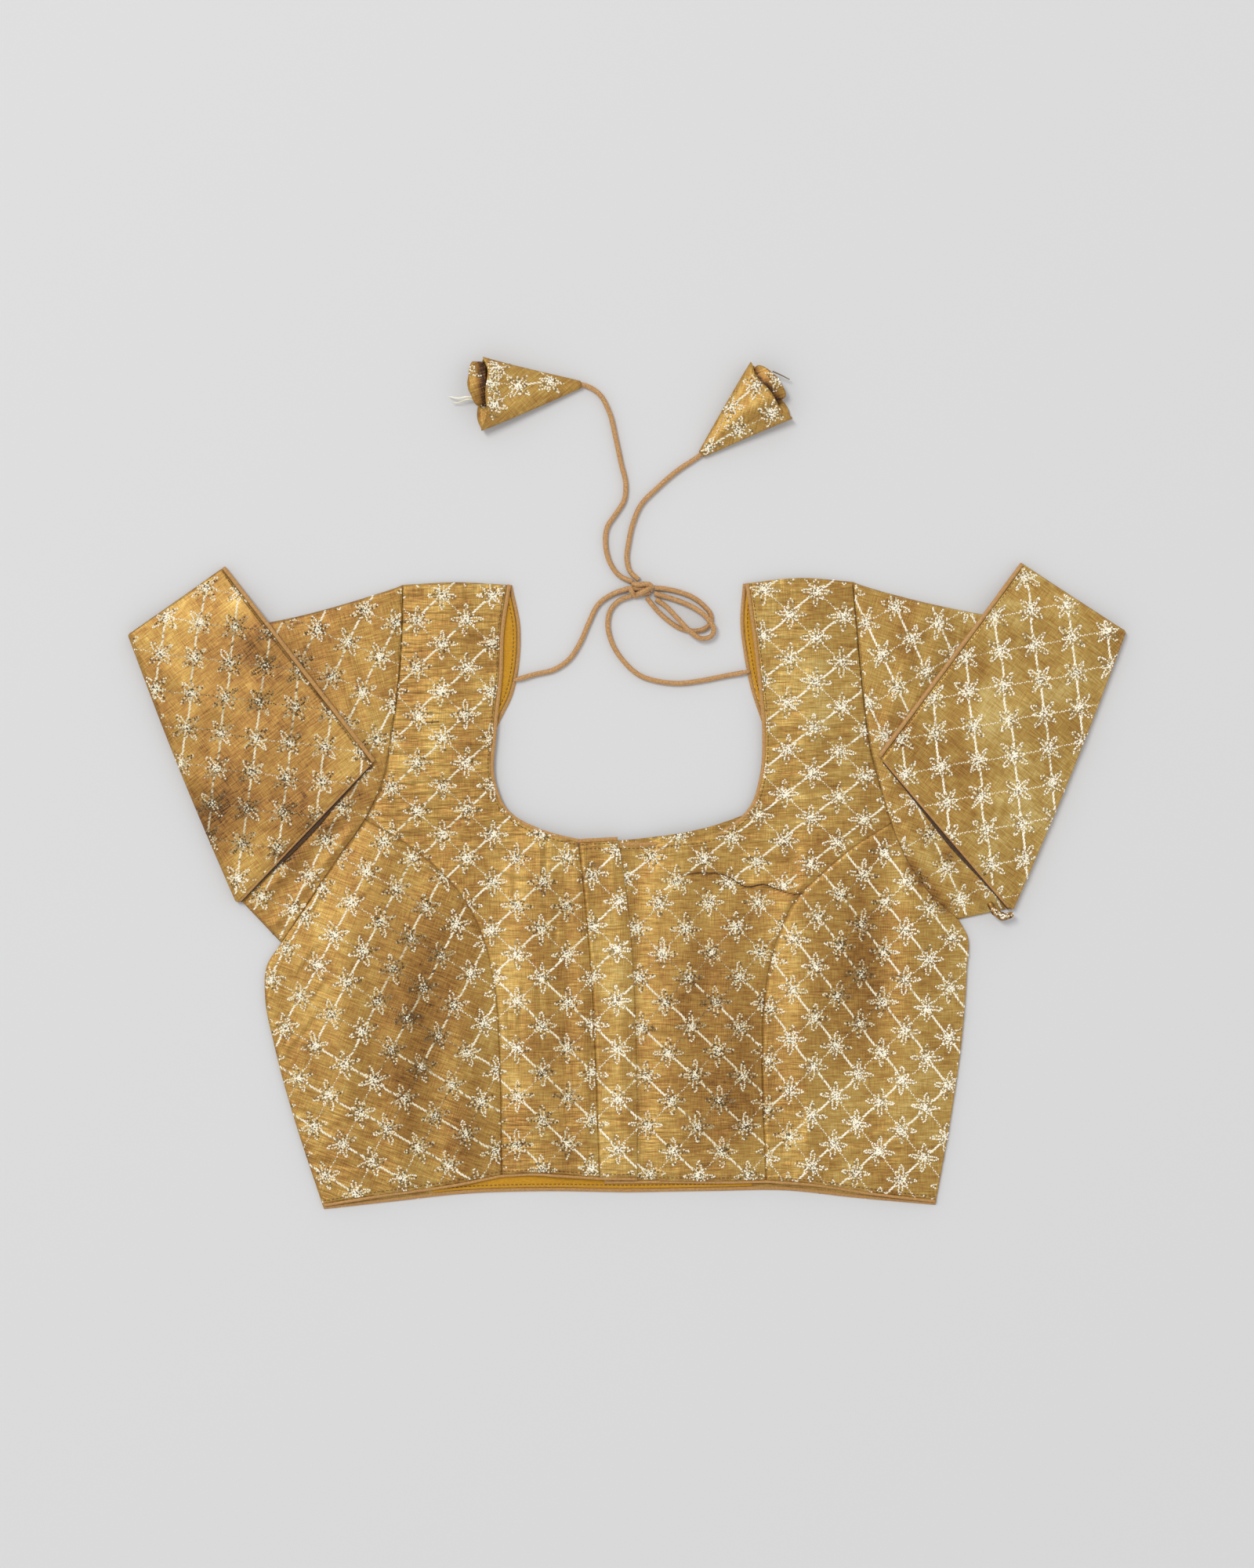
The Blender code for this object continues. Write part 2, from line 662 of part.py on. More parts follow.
def build_pipings():
    placket_top, placket_bottom = placket_ends()
    hem_side, hem_centre = hem_edges(right)
    piping("neck_piping_right", joined(neck_edge(right), placket_top), -1, right_front_bottom)
    piping("hem_piping_right", joined(hem_side, hem_centre, placket_bottom), 1, right_front_bottom)
    piping("neck_piping_left", neck_edge(left), 1, front_bottom)
    piping("hem_piping_left", joined(*hem_edges(left)), -1, front_bottom)
    piping("back_neck_piping", back_neck_edge(), -1, flat_back)
    piping("back_hem_piping", back_hem_edge(), 1, flat_back)


class Sleeve:
    """A flat tube from the armhole to the cuff, turned over on itself at the fold."""

    def __init__(self, side, flap):
        corner = {name: np.array([x, y]) for name, x, y in flap}
        self.half = SLEEVE_HOLLOW / 2 + WALL
        self.radius = self.half + FOLD_SPACE
        run = corner["fold_top"] - corner["fold_low"]
        self.length = np.linalg.norm(run)
        self.along = run / self.length
        outward = np.array([-self.along[1], self.along[0]])
        self.outward = outward * math.copysign(1.0, outward[0] * corner["fold_top"][0])
        reach = self.outward * (self.radius + self.half)
        self.fold_low, self.fold_top = corner["fold_low"] - reach, corner["fold_top"] - reach
        self.cuff_low, self.cuff_top = corner["cuff_low"], corner["cuff_top"]
        cuff_run = (self.cuff_top - self.cuff_low) / np.linalg.norm(self.cuff_top - self.cuff_low)
        self.cuff_inward = np.array([-cuff_run[1], cuff_run[0]])
        if self.cuff_inward.dot(self.fold_low - self.cuff_low) < 0:
            self.cuff_inward = -self.cuff_inward
        self.armhole_rows = armhole_rows(side)[::-1]
        self.shoulder = np.array(side(ARMHOLE_UPPER)[0])

    def armhole(self, fractions):
        path = smooth_curve(self.armhole_rows, np.linspace(0, 1, ARMHOLE_SAMPLES))
        away = plan_normals(path)
        away *= np.sign(away[:, :1] * path[:, :1])
        moved = path + away * HALF_GAP
        return smooth_curve(moved, fractions)

    def fold(self, fractions):
        return self.fold_low + np.outer(fractions, self.fold_top - self.fold_low)

    def cuff(self, fractions, inset):
        line = self.cuff_low + np.outer(fractions, self.cuff_top - self.cuff_low)
        return line + self.cuff_inward * inset

    def lofts(self, plan, fractions):
        """How much the folded layers rise at these plan points: what lies below, and the flap's own."""
        from_low = plan - self.fold_low
        inwards = np.maximum(0.0, -from_low @ self.outward)
        eased = 1 - np.exp(-inwards / SIDE_EASE)
        crown = np.sin(math.pi * np.clip(from_low @ self.along / self.length, 0, 1)) ** 0.5
        below = eased * (SLEEVE_LOFT * crown + fold_height(*plan.T, SLEEVE_FOLDS))
        own = FLAP_LOFT * eased * np.sin(math.pi * np.asarray(fractions))
        edge = self.fold_top - self.shoulder
        above = np.array([-edge[1], edge[0]]) / np.linalg.norm(edge)
        above *= math.copysign(1.0, above[1])
        droop = FLAP_DROOP * smoothstep((plan - self.shoulder) @ above / DROOP_LENGTH)
        return below, own, droop

    def ring(self, plan_of, angle, inner):
        """One loop round the tube, on its outer surface or the inner one."""
        half = SLEEVE_HOLLOW / 2 if inner else self.half
        samples = np.array(RING_SAMPLES)
        if inner:
            width = np.linalg.norm(np.diff(plan_of(np.array([0.0, 1.0])), axis=0))
            inset = RING_EDGE / width
            samples = inset + samples * (1 - 2 * inset)
        plan = plan_of(samples)
        below, own, droop = self.lofts(plan, samples)
        turned = (1 - math.cos(angle)) / 2
        loop = []
        for layer in (-1, 1):
            order = range(len(samples)) if layer < 0 else range(len(samples) - 2, 0, -1)
            for k in order:
                height = layer * half * RING_PROFILE[k]
                radius = self.radius - height
                x, y = plan[k] + self.outward * radius * math.sin(angle)
                z = self.half + self.radius - radius * math.cos(angle)
                if layer > 0:
                    z += below[k]
                else:
                    z += (below[k] + own[k]) * turned
                loop.append((x, y, z - droop[k] * turned))
        return loop

    def inner_stretch(self, fractions, t):
        """A line across the sleeve between its armhole and its fold. The shoulder end dips on the way."""
        line = (1 - t) * self.armhole(fractions) + t * self.fold(fractions)
        dip = SLEEVE_TOP_DIP * math.sin(math.pi * t) ** 0.7 * np.asarray(fractions) ** 4
        return line - np.outer(dip, (0.0, 1.0))

    def rings(self):
        """(plan function, fold angle) of every ring, from the armhole to the piping at the cuff."""
        found = []
        for t in SLEEVE_STARTS:
            found.append((lambda f, t=t: self.inner_stretch(f, t), 0.0))
        for k in range(FOLD_STEPS + 1):
            found.append((self.fold, math.pi * k / FOLD_STEPS))
        for t in FLAP_RINGS:
            found.append((lambda f, t=t: (1 - t) * self.fold(f) + t * self.cuff(f, BOUND), math.pi))
        return found


def tube_solid(name, sleeve, rings, material_name):
    outer = [sleeve.ring(plan_of, angle, inner=False) for plan_of, angle in rings]
    inner = [sleeve.ring(plan_of, angle, inner=True) for plan_of, angle in rings]
    return rings_solid(name, outer + inner[::-1], material_name, closed_ends=False)


def build_sleeves():
    for side, word, flap in ((right, "right", FLAP_RIGHT), (left, "left", FLAP_LEFT)):
        sleeve = Sleeve(side, flap)
        tube_solid(f"sleeve_{word}", sleeve, sleeve.rings(), "tissue")
        band = [(lambda f, i=inset: sleeve.cuff(f, i), math.pi) for inset in (PIPING, 0.0)]
        tube_solid(f"cuff_piping_{word}", sleeve, band, "piping")


def cord(name, route):
    """A round cord along a route, as a curve with a bevel."""
    points = np.array([(x, y, CORD_Z + lift) for x, y, lift in route])
    length = np.linalg.norm(np.diff(points, axis=0), axis=1).sum()
    count = math.ceil(length / (CORD_POINT_STEP * CORD)) + 1
    path = smooth_curve(points, np.linspace(0, 1, count)) * METRES_PER_MM
    curve = bpy.data.curves.new(name, "CURVE")
    curve.dimensions = "3D"
    curve.bevel_depth = CORD / 2 * METRES_PER_MM
    curve.bevel_resolution = 2
    curve.use_fill_caps = True
    spline = curve.splines.new("POLY")
    spline.points.add(count - 1)
    for point, position in zip(spline.points, path):
        point.co = (*position, 1.0)
    curve.materials.append(material("cord"))
    made = bpy.data.objects.new(name, curve)
    bpy.context.collection.objects.link(made)
    return made


def build_cords():
    for name, route in (
        ("tie_right", TIE_RIGHT),
        ("tie_left", TIE_LEFT),
        ("loop_upper", LOOP_UPPER),
        ("loop_lower", LOOP_LOWER),
        ("end_right", END_RIGHT),
        ("end_left", END_LEFT),
    ):
        cord(name, route)


def build_knot():
    shape = bmesh.new()
    bmesh.ops.create_uvsphere(shape, u_segments=KNOT_SIDES, v_segments=KNOT_SIDES // 2, radius=0.5)
    bmesh.ops.scale(shape, verts=shape.verts, vec=KNOT_SIZE)
    bmesh.ops.scale(shape, verts=shape.verts, vec=(METRES_PER_MM,) * 3)
    mesh = bpy.data.meshes.new("knot")
    shape.to_mesh(mesh)
    shape.free()
    mesh.materials.append(material("cord"))
    mesh.shade_smooth()
    knot = bpy.data.objects.new("knot", mesh)
    bpy.context.collection.objects.link(knot)
    centre = (*KNOT_CENTRE, KNOT_SIZE[2] / 2 + REST_CLEARANCE)
    knot.location = [value * METRES_PER_MM for value in centre]


def cone_ring(apex, mouth, width, lip, t, inset):
    """One loop of a tassel's cone. The lip makes its mouth longer on one side."""
    centre = apex + t * (mouth - apex)
    axis = (mouth - apex) / np.linalg.norm(mouth - apex)
    across = np.array([-axis[1], axis[0]])
    half_width = CONE_TIP + t * (width / 2 - CONE_TIP)
    half_height = CONE_TIP + t * (CONE_MOUTH_HEIGHT / 2 - CONE_TIP)
    loop = []
    for k in range(CONE_SIDES):
        angle = 2 * math.pi * k / CONE_SIDES
        push = lip * t**4 * math.cos(angle + CONE_LIP_TURN)
        x, y = centre + across * (half_width - inset) * math.cos(angle) + axis * push
        z = half_height + REST_CLEARANCE + (half_height - inset) * math.sin(angle)
        loop.append((x, y, z))
    return loop


def build_tassels():
    for name, apex_x, apex_y, mouth_x, mouth_y, width, lip in CONES:
        apex, mouth = np.array([apex_x, apex_y]), np.array([mouth_x, mouth_y])
        outer = [cone_ring(apex, mouth, width, lip, t, 0.0) for t in CONE_RINGS]
        inner = [cone_ring(apex, mouth, width, lip, t, WALL) for t in CONE_RINGS[1:]]
        rings_solid(name, outer + inner[::-1], "tissue")


def clear_scene():
    for old in list(bpy.data.objects):
        bpy.data.objects.remove(old, do_unlink=True)


clear_scene()
build_back()
build_linings()
build_front()
build_sleeves()
build_pipings()
build_cords()
build_knot()
build_tassels()
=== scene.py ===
"""The looks of a short square-necked blouse, laid flat with its front up and its sleeves folded over on top.

X runs across the blouse, +Y to its shoulders and +Z up from the surface it lies on. "Right" and "left" are
the wearer's, so the right side is at negative X. Tables and sizes are in millimetres. The functions that
make objects turn them into metres.
"""

import math
from functools import partial

import bmesh
import bpy
import numpy as np
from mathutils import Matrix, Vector
from mathutils.bvhtree import BVHTree
from mathutils.kdtree import KDTree


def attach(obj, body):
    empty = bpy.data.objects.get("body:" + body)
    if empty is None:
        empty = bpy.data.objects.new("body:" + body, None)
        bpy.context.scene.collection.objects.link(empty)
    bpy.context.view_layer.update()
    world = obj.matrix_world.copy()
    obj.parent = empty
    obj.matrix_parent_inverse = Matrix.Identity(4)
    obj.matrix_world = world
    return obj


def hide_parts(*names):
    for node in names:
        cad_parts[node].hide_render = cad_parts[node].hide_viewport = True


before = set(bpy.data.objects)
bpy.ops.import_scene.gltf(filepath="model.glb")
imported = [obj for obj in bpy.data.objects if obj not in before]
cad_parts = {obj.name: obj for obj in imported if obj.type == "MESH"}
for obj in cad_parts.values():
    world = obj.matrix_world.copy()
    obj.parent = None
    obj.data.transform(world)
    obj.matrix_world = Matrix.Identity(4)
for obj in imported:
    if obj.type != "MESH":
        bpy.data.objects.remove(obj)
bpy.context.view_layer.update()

METRES_PER_MM = 0.001
# The cloth's thickness, and the heights that its layers lie at
WALL = 1.2
BACK_TOP = 1.2
BACK_LOWEST = 0.45
FRONT_BOTTOM = 1.5
FRONT_RISE = 1.5
FRONT_LOWEST = BACK_TOP + 0.1
# How far in from the sides and the shoulders the front has risen
SIDE_EASE = 16.0
SHOULDER_Y, SHOULDER_EASE = 185.0, 2.5
# The right front rises from LAP_START to LAP_END, to lie over the left front, which runs on below it
LAP_RISE, LAP_START, LAP_END = 1.6, -75.0, -36.0
UNDERLAP = (3.0, -2.5)
# Widths of the piping and of the cord
PIPING = 2.4
HEM_PIPING = 1.7
CORD = 3.1

# Outlines, from the shoulder downwards. Columns: right x, right y, left x, left y
ARMHOLE_UPPER = (
    (-137.6, 184.0, 138.4, 185.9),
    (-138.2, 156.0, 141.0, 156.0),
    (-140.3, 124.4, 144.3, 121.0),
    (-144.1, 95.6, 148.4, 88.0),
    (-151.1, 59.8, 155.5, 60.0),
    (-160.5, 40.0, 162.0, 38.0),
)
ARMHOLE_LOWER = (
    (-160.5, 40.0, 162.0, 38.0),
    (-178.7, 14.5, 173.5, 11.5),
    (-196.5, -12.0, 188.5, -8.5),
    (-212.0, -35.4, 203.0, -21.0),
)
SIDE_SEAM = (
    (-212.0, -35.4, 203.0, -21.0),
    (-221.0, -50.0, 208.5, -31.0),
    (-222.0, -68.0, 208.2, -52.0),
    (-216.2, -98.8, 205.0, -95.0),
    (-203.6, -144.9, 198.0, -145.0),
    (-186.0, -197.0, 189.0, -194.5),
)
PRINCESS_SEAM = (
    (-160.5, 40.0, 162.0, 38.0),
    (-142.2, 29.9, 141.7, 25.5),
    (-121.0, 14.5, 120.0, 8.0),
    (-101.9, -5.2, 102.6, -9.5),
    (-89.0, -30.0, 92.5, -31.0),
    (-80.7, -65.7, 84.5, -65.0),
    (-78.0, -110.0, 82.8, -105.0),
    (-76.9, -178.9, 85.2, -182.3),
)
SHOULDER = (
    (-137.6, 184.0, 138.4, 185.9),
    (-105.0, 185.6, 105.0, 188.2),
    (-71.1, 183.9, 72.3, 184.8),
)
FRONT_NECK = (
    (-71.1, 183.9, 72.3, 184.8),
    (-75.2, 157.0, 77.5, 148.0),
    (-76.4, 127.8, 80.5, 121.0),
    (-79.8, 95.6, 82.7, 92.3),
    (-80.3, 62.0, 81.0, 66.0),
    (-74.0, 47.5, 75.5, 49.0),
    (-53.4, 34.7, 58.0, 33.5),
    (-41.0, 30.9, 26.3, 27.5),
)
BACK_NECK = (
    (-70.6, 184.0, 71.0, 184.8),
    (-65.6, 158.0, 69.5, 160.0),
    (-66.1, 137.9, 71.9, 140.0),
    (-70.5, 116.0, 76.0, 120.0),
    (-78.3, 99.7, 81.5, 103.0),
    (-86.0, 80.0, 88.0, 84.0),
    (-88.0, 52.0, 90.0, 56.0),
    (-76.0, 22.0, 78.0, 24.0),
    (-50.0, 4.0, 52.0, 5.0),
    (0.0, -3.0, 0.0, -3.0),
)
HEM_SIDE = (
    (-186.0, -197.0, 189.0, -194.5),
    (-149.9, -190.9, 150.0, -189.8),
    (-112.0, -185.6, 115.1, -184.4),
    (-76.9, -178.9, 85.2, -182.3),
)
HEM_CENTRE = (
    (-76.9, -178.9, 85.2, -182.3),
    (-55.8, -177.8, 52.7, -182.8),
    (-38.5, -178.9, 20.0, -182.5),
)
BACK_HEM = (
    (-186.0, -198.6, 189.0, -196.0),
    (-140.0, -193.5, 140.0, -191.6),
    (-101.9, -189.3, 95.9, -187.0),
    (-55.8, -187.6, 55.0, -187.4),
    (0.0, -188.3, 0.0, -188.3),
)
# The placket's seam and its free edge at the centre front. Columns: seam x, seam y, edge x, edge y
PLACKET = (
    (-29.9, 28.4, -5.9, 29.6),
    (-25.8, -12.0, -1.2, 0.0),
    (-21.8, -58.0, 2.8, -40.0),
    (-18.8, -128.0, 5.4, -105.0),
    (-16.9, -180.3, 6.1, -180.6),
)
# Each sleeve's flap. The low corners are at the underarm seam. Columns: name, x, y
FLAP_RIGHT = (
    ("fold_low", -239.5, -11.0),
    ("fold_top", -306.2, 153.8),
    ("cuff_low", -153.8, 76.4),
    ("cuff_top", -246.4, 195.6),
)
FLAP_LEFT = (
    ("fold_low", 236.5, -15.5),
    ("fold_top", 306.0, 155.7),
    ("cuff_low", 153.0, 79.3),
    ("cuff_top", 241.3, 197.9),
)
# The largest folds: soft ridges from one point to another. Columns: x0, y0, x1, y1, half width, height
FRONT_FOLDS = (
    (-112.0, -12.0, -116.0, -70.0, 36.0, 2.0),
    (116.0, -14.0, 114.0, -70.0, 36.0, 2.0),
    (-98.0, -80.0, -103.0, -178.0, 12.0, 1.3),
    (-178.0, -30.0, -166.0, -180.0, 14.0, 1.2),
    (-139.0, -90.0, -136.0, -178.0, 11.0, 0.8),
    (-56.0, 12.0, -58.0, -120.0, 13.0, 1.0),
    (-64.0, -142.0, -44.0, -170.0, 10.0, 1.1),
    (34.0, 6.0, 30.0, -150.0, 14.0, 1.0),
    (62.0, -20.0, 64.0, -172.0, 12.0, 1.3),
    (106.0, -80.0, 109.0, -176.0, 12.0, 1.1),
    (176.0, -20.0, 168.0, -170.0, 15.0, 1.4),
    (-108.0, 160.0, -110.0, 70.0, 18.0, 0.9),
    (110.0, 160.0, 112.0, 70.0, 18.0, 0.9),
)
SLEEVE_FOLDS = (
    (-232.0, 6.0, -188.0, 58.0, 9.0, 0.7),
    (-262.0, 60.0, -214.0, 96.0, 11.0, 0.6),
    (-226.0, 150.0, -176.0, 158.0, 10.0, 0.6),
    (228.0, 4.0, 190.0, 56.0, 9.0, 0.7),
    (258.0, 62.0, 214.0, 98.0, 11.0, 0.6),
    (224.0, 152.0, 176.0, 160.0, 10.0, 0.6),
)
# Each cord's route. Columns: x, y, how far its centre is lifted where it crosses another
CORDS = {
    "tie_right": (
        (-66.9, 126.2, 0.0),
        (-56.5, 129.2, 0.0),
        (-44.8, 132.1, 0.0),
        (-36.0, 138.0, 0.0),
        (-28.6, 149.0, 0.0),
        (-23.5, 160.8, 0.0),
        (-17.3, 172.5, 0.0),
        (-8.5, 178.6, 0.0),
        (1.0, 181.9, 0.6),
    ),
    "tie_left": (
        (72.4, 130.5, 0.0),
        (61.0, 128.4, 0.0),
        (46.3, 125.5, 0.0),
        (31.6, 123.7, 0.0),
        (19.9, 124.8, 0.0),
        (8.1, 128.4, 0.0),
        (-2.2, 137.3, 0.0),
        (-9.5, 149.0, 0.0),
        (-11.9, 160.8, 0.0),
        (-10.0, 169.0, 0.0),
        (-5.2, 174.2, 0.0),
        (2.6, 177.4, 0.6),
    ),
    "loop_upper": (
        (16.7, 182.3, 0.6),
        (23.4, 181.6, 0.0),
        (32.3, 179.6, 0.0),
        (40.3, 176.4, 0.0),
        (47.0, 171.3, 0.0),
        (51.2, 165.8, 0.0),
        (51.3, 161.0, 0.0),
        (48.6, 157.8, 0.0),
        (44.0, 156.0, 0.0),
        (38.5, 155.9, 0.0),
        (32.3, 157.6, 0.0),
        (25.0, 162.3, 0.0),
        (18.4, 168.4, 0.0),
        (11.9, 176.2, 0.3),
    ),
    "loop_lower": (
        (16.6, 178.8, 0.6),
        (23.6, 176.8, 0.4),
        (32.3, 173.9, 0.4),
        (40.3, 170.3, 1.4),
        (46.2, 166.2, 3.4),
        (50.6, 161.6, 3.6),
        (52.9, 157.6, 3.2),
        (52.3, 153.4, 2.6),
        (48.6, 151.2, 2.6),
        (44.2, 151.4, 3.2),
        (39.5, 154.4, 3.6),
        (34.6, 159.4, 3.2),
        (29.6, 164.8, 1.4),
        (23.4, 171.2, 0.2),
        (17.6, 175.2, 0.6),
    ),
    "end_right": (
        (3.2, 186.0, 0.5),
        (-4.6, 189.6, 0.0),
        (-10.4, 197.4, 0.0),
        (-13.2, 208.0, 0.0),
        (-12.4, 219.0, 0.0),
        (-6.6, 228.0, 0.0),
        (-1.8, 236.0, 0.0),
        (-0.9, 246.0, 0.0),
        (-3.6, 258.0, 0.0),
        (-7.0, 274.0, 0.0),
        (-11.0, 290.0, 0.0),
        (-17.5, 301.5, 0.0),
        (-26.8, 306.6, 0.0),
    ),
    "end_left": (
        (7.0, 187.2, 0.5),
        (1.6, 192.6, 0.0),
        (-0.1, 199.0, 0.0),
        (0.9, 210.0, 0.0),
        (3.6, 222.0, 0.0),
        (8.4, 233.0, 0.0),
        (18.0, 243.0, 0.0),
        (31.0, 254.2, 0.0),
        (44.8, 263.6, 0.0),
    ),
}
# Where each end cord is sewn in, inside its tassel
SEWN_IN = {"end_right": (-37.5, 306.0, 2.8), "end_left": (52.5, 270.4, 2.8)}
# Where the ties are sewn down on the back neck's piping, and how far they rise to lie on it
SEWN_ON = {"tie_right": (-69.5, 125.4, 2.5), "tie_left": (75.1, 131.0, 2.5)}
KNOT_CENTRE = (9.0, 181.4)
# Each tassel: a cone rolled from cloth. Columns: name, apex x, apex y, mouth x, mouth y, mouth width, lip
CONES = (
    ("tassel_right", -28.4, 306.8, -88.6, 300.6, 45.0, 4.0),
    ("tassel_left", 45.4, 264.0, 88.2, 302.6, 43.0, 3.0),
)
CONE_MOUTH_HEIGHT, CONE_TIP, CONE_LIP_TURN = 13.0, 2.3, 0.8
# A tassel's roll: how many turns it makes, its wall, and the points along it and round it
ROLL_OVERLAP, ROLL_WALL = 1.16, 0.7
ROLL_STEPS, ROLL_TURNS = 26, 76
# The lining's strips: their width, and the parts of the back neck and of the hem where they show
LINING_WIDTH = 16.0
LINING_NECK_SPAN = (0.025, 0.34)
LINING_HEM_SPAN = (0.18, 0.7)
# The sleeves: the hollow between their layers, the space at the fold, how their top edge dips, how their
# layers swell, and how the flap sinks past the shoulder
SLEEVE_HOLLOW, FOLD_SPACE = 0.3, 0.5
SLEEVE_TOP_DIP, SLEEVE_LOFT, FLAP_LOFT = 6.0, 1.3, 0.8
RIGHT_TOP_DIP = 2.6
FLAP_DROOP, DROOP_LENGTH = 2.4, 22.0
RING_EDGE = 1.7
# Half the slit at a seam, how far in a panel starts behind its piping, and the height left for threads
SEAM = 0.15
BOUND = PIPING + 0.3
UNDER_THREAD = 0.45
# Where the star lattice of each region has one star, and the two steps to its neighbours
# Columns: region, star x, star y, first step x and y, second step x and y
LATTICES = (
    ("front_centre_right", -67.3, -41.8, 15.4, -14.6, -15.4, -14.6),
    ("placket", -5.9, -39.7, 15.4, -15.2, -15.4, -15.2),
    ("front_centre_left_upper", 99.3, 138.6, 15.8, -14.6, -16.6, -13.1),
    ("front_centre_left_lower", 37.7, -56.4, 15.8, -15.1, -14.2, -15.2),
    ("front_side_right", -125.9, -111.3, -10.0, -19.2, 18.4, -10.7),
    ("front_side_left", 142.8, -54.1, 13.4, -17.4, -14.1, -13.1),
    ("sleeve_cap_right", -160.7, 169.1, -10.3, -20.9, 19.0, -8.4),
    ("sleeve_cap_left", 156.0, 141.3, 9.4, -20.1, 17.5, 9.6),
    ("flap_right", -264.3, 139.3, -2.8, -21.6, 21.5, -2.9),
    ("flap_left", 252.2, 126.0, 2.7, -21.1, 21.8, 3.9),
)
# Which links are thick ropes of stitches; all others are thin broken lines
# Columns: region, from this y up to the row before's, the step of the lattice that they run along
ROPES = (
    ("front_centre_right", -50.0, "second"),
    ("front_centre_right", -200.0, "first"),
    ("placket", -60.0, "second"),
    ("placket", -300.0, "first"),
    ("front_centre_left_upper", -20.0, "second"),
    ("front_centre_left_lower", -50.0, None),
    ("front_centre_left_lower", -200.0, "first"),
    ("front_side_right", -95.0, "first"),
    ("front_side_right", -200.0, "second"),
    ("front_side_left", -112.0, "first"),
    ("front_side_left", -200.0, "second"),
    ("sleeve_cap_right", -100.0, "first"),
    ("sleeve_cap_left", -100.0, "first"),
    ("flap_right", -100.0, "first"),
    ("flap_left", -100.0, "first"),
)


def right(table):
    return [row[:2] for row in table]


def left(table):
    return [row[2:4] for row in table]


def fine_curve(points, steps=24):
    """Closely spaced points on a smooth curve through the given ones, and the length run up to each."""
    points = np.array(points, float)
    chords = np.linalg.norm(np.diff(points, axis=0), axis=1)
    slopes = np.gradient(points, np.concatenate([[0.0], np.cumsum(chords)]), axis=0)
    fine = []
    for i, chord in enumerate(chords):
        for t in np.arange(steps) / steps:
            fine.append(
                (2 * t**3 - 3 * t**2 + 1) * points[i]
                + (t**3 - 2 * t**2 + t) * chord * slopes[i]
                + (3 * t**2 - 2 * t**3) * points[i + 1]
                + (t**3 - t**2) * chord * slopes[i + 1]
            )
    fine = np.array(fine + [points[-1]])
    return fine, np.concatenate([[0.0], np.cumsum(np.linalg.norm(np.diff(fine, axis=0), axis=1))])


def smooth_curve(points, fractions):
    """Points at these fractions of the length of a smooth curve through the given points."""
    fine, run = fine_curve(points)
    wanted = np.asarray(fractions) * run[-1]
    return np.stack([np.interp(wanted, run, fine[:, k]) for k in range(fine.shape[1])], axis=1)


def even(points, count):
    return smooth_curve(points, np.linspace(0, 1, count))


def joined(*curves):
    return np.concatenate([curves[0]] + [curve[1:] for curve in curves[1:]])


def smoothstep(value):
    t = np.clip(value, 0.0, 1.0)
    return t * t * (3 - 2 * t)


def noise(x, y, seed):
    """Smooth random values from -1 to 1, one for each unit square of the plan."""
    column, row = np.floor(x), np.floor(y)
    across, up = smoothstep(x - column), smoothstep(y - row)

    def corner(i, j):
        wild = np.sin((column + i) * 127.1 + (row + j) * 311.7 + seed * 74.7) * 43758.5453
        return 2 * (wild - np.floor(wild)) - 1

    low = corner(0, 0) * (1 - across) + corner(1, 0) * across
    high = corner(0, 1) * (1 - across) + corner(1, 1) * across
    return low * (1 - up) + high * up


def ridges(x, y, table):
    """The summed height of soft ridges at plan points."""
    total = np.zeros_like(x)
    for x0, y0, x1, y1, width, height in table:
        along = np.array([x1 - x0, y1 - y0])
        t = np.clip(((x - x0) * along[0] + (y - y0) * along[1]) / along.dot(along), 0, 1)
        distance = np.hypot(x - x0 - t * along[0], y - y0 - t * along[1])
        total = total + height * np.exp(-((distance / width) ** 2))
    return total


def outer_x(x, y):
    """How far out the body's edge is at this height, on the side where the point is."""
    edges = []
    for side in (right, left):
        outline = joined(side(ARMHOLE_UPPER), side(ARMHOLE_LOWER), side(SIDE_SEAM))
        order = np.argsort(outline[:, 1])
        edges.append(np.interp(y, outline[order, 1], np.abs(outline[order, 0])))
    return np.where(x < 0, edges[0], edges[1])


def placket_edge(first, fractions):
    """The placket's seam, from column 0, or its free edge, from column 2."""
    return smooth_curve([row[first : first + 2] for row in PLACKET], fractions)


def centre_edge(side, fractions):
    """Where a centre panel ends: at the placket's seam, or on the left a little further in, below it."""
    return placket_edge(0, fractions) + np.array(UNDERLAP if side is left else (0.0, 0.0))


def neck_rows(side):
    return side(FRONT_NECK) + [tuple(centre_edge(side, (0.0, 1.0))[0])]


def hem_rows(side):
    return side(HEM_CENTRE) + [tuple(centre_edge(side, (0.0, 1.0))[1])]


def armhole_rows(side):
    return side(ARMHOLE_UPPER) + side(ARMHOLE_LOWER)[1:]


# The seams that the cloth dips into. Columns: rows of the seam, depth, half width
SEAMS = [
    (rows, depth, width)
    for side in (right, left)
    for rows, depth, width in (
        (armhole_rows(side), 0.2, 1.2),
        (side(PRINCESS_SEAM), 0.5, 1.2),
        (neck_rows(side), 0.5, 1.6),
        (side(HEM_SIDE), 0.4, 1.8),
        (hem_rows(side), 0.4, 1.8),
        (side(SIDE_SEAM), 0.5, 1.6),
        (side(SHOULDER), 0.5, 1.6),
    )
] + [([row[:2] for row in PLACKET], 0.5, 1.0)]


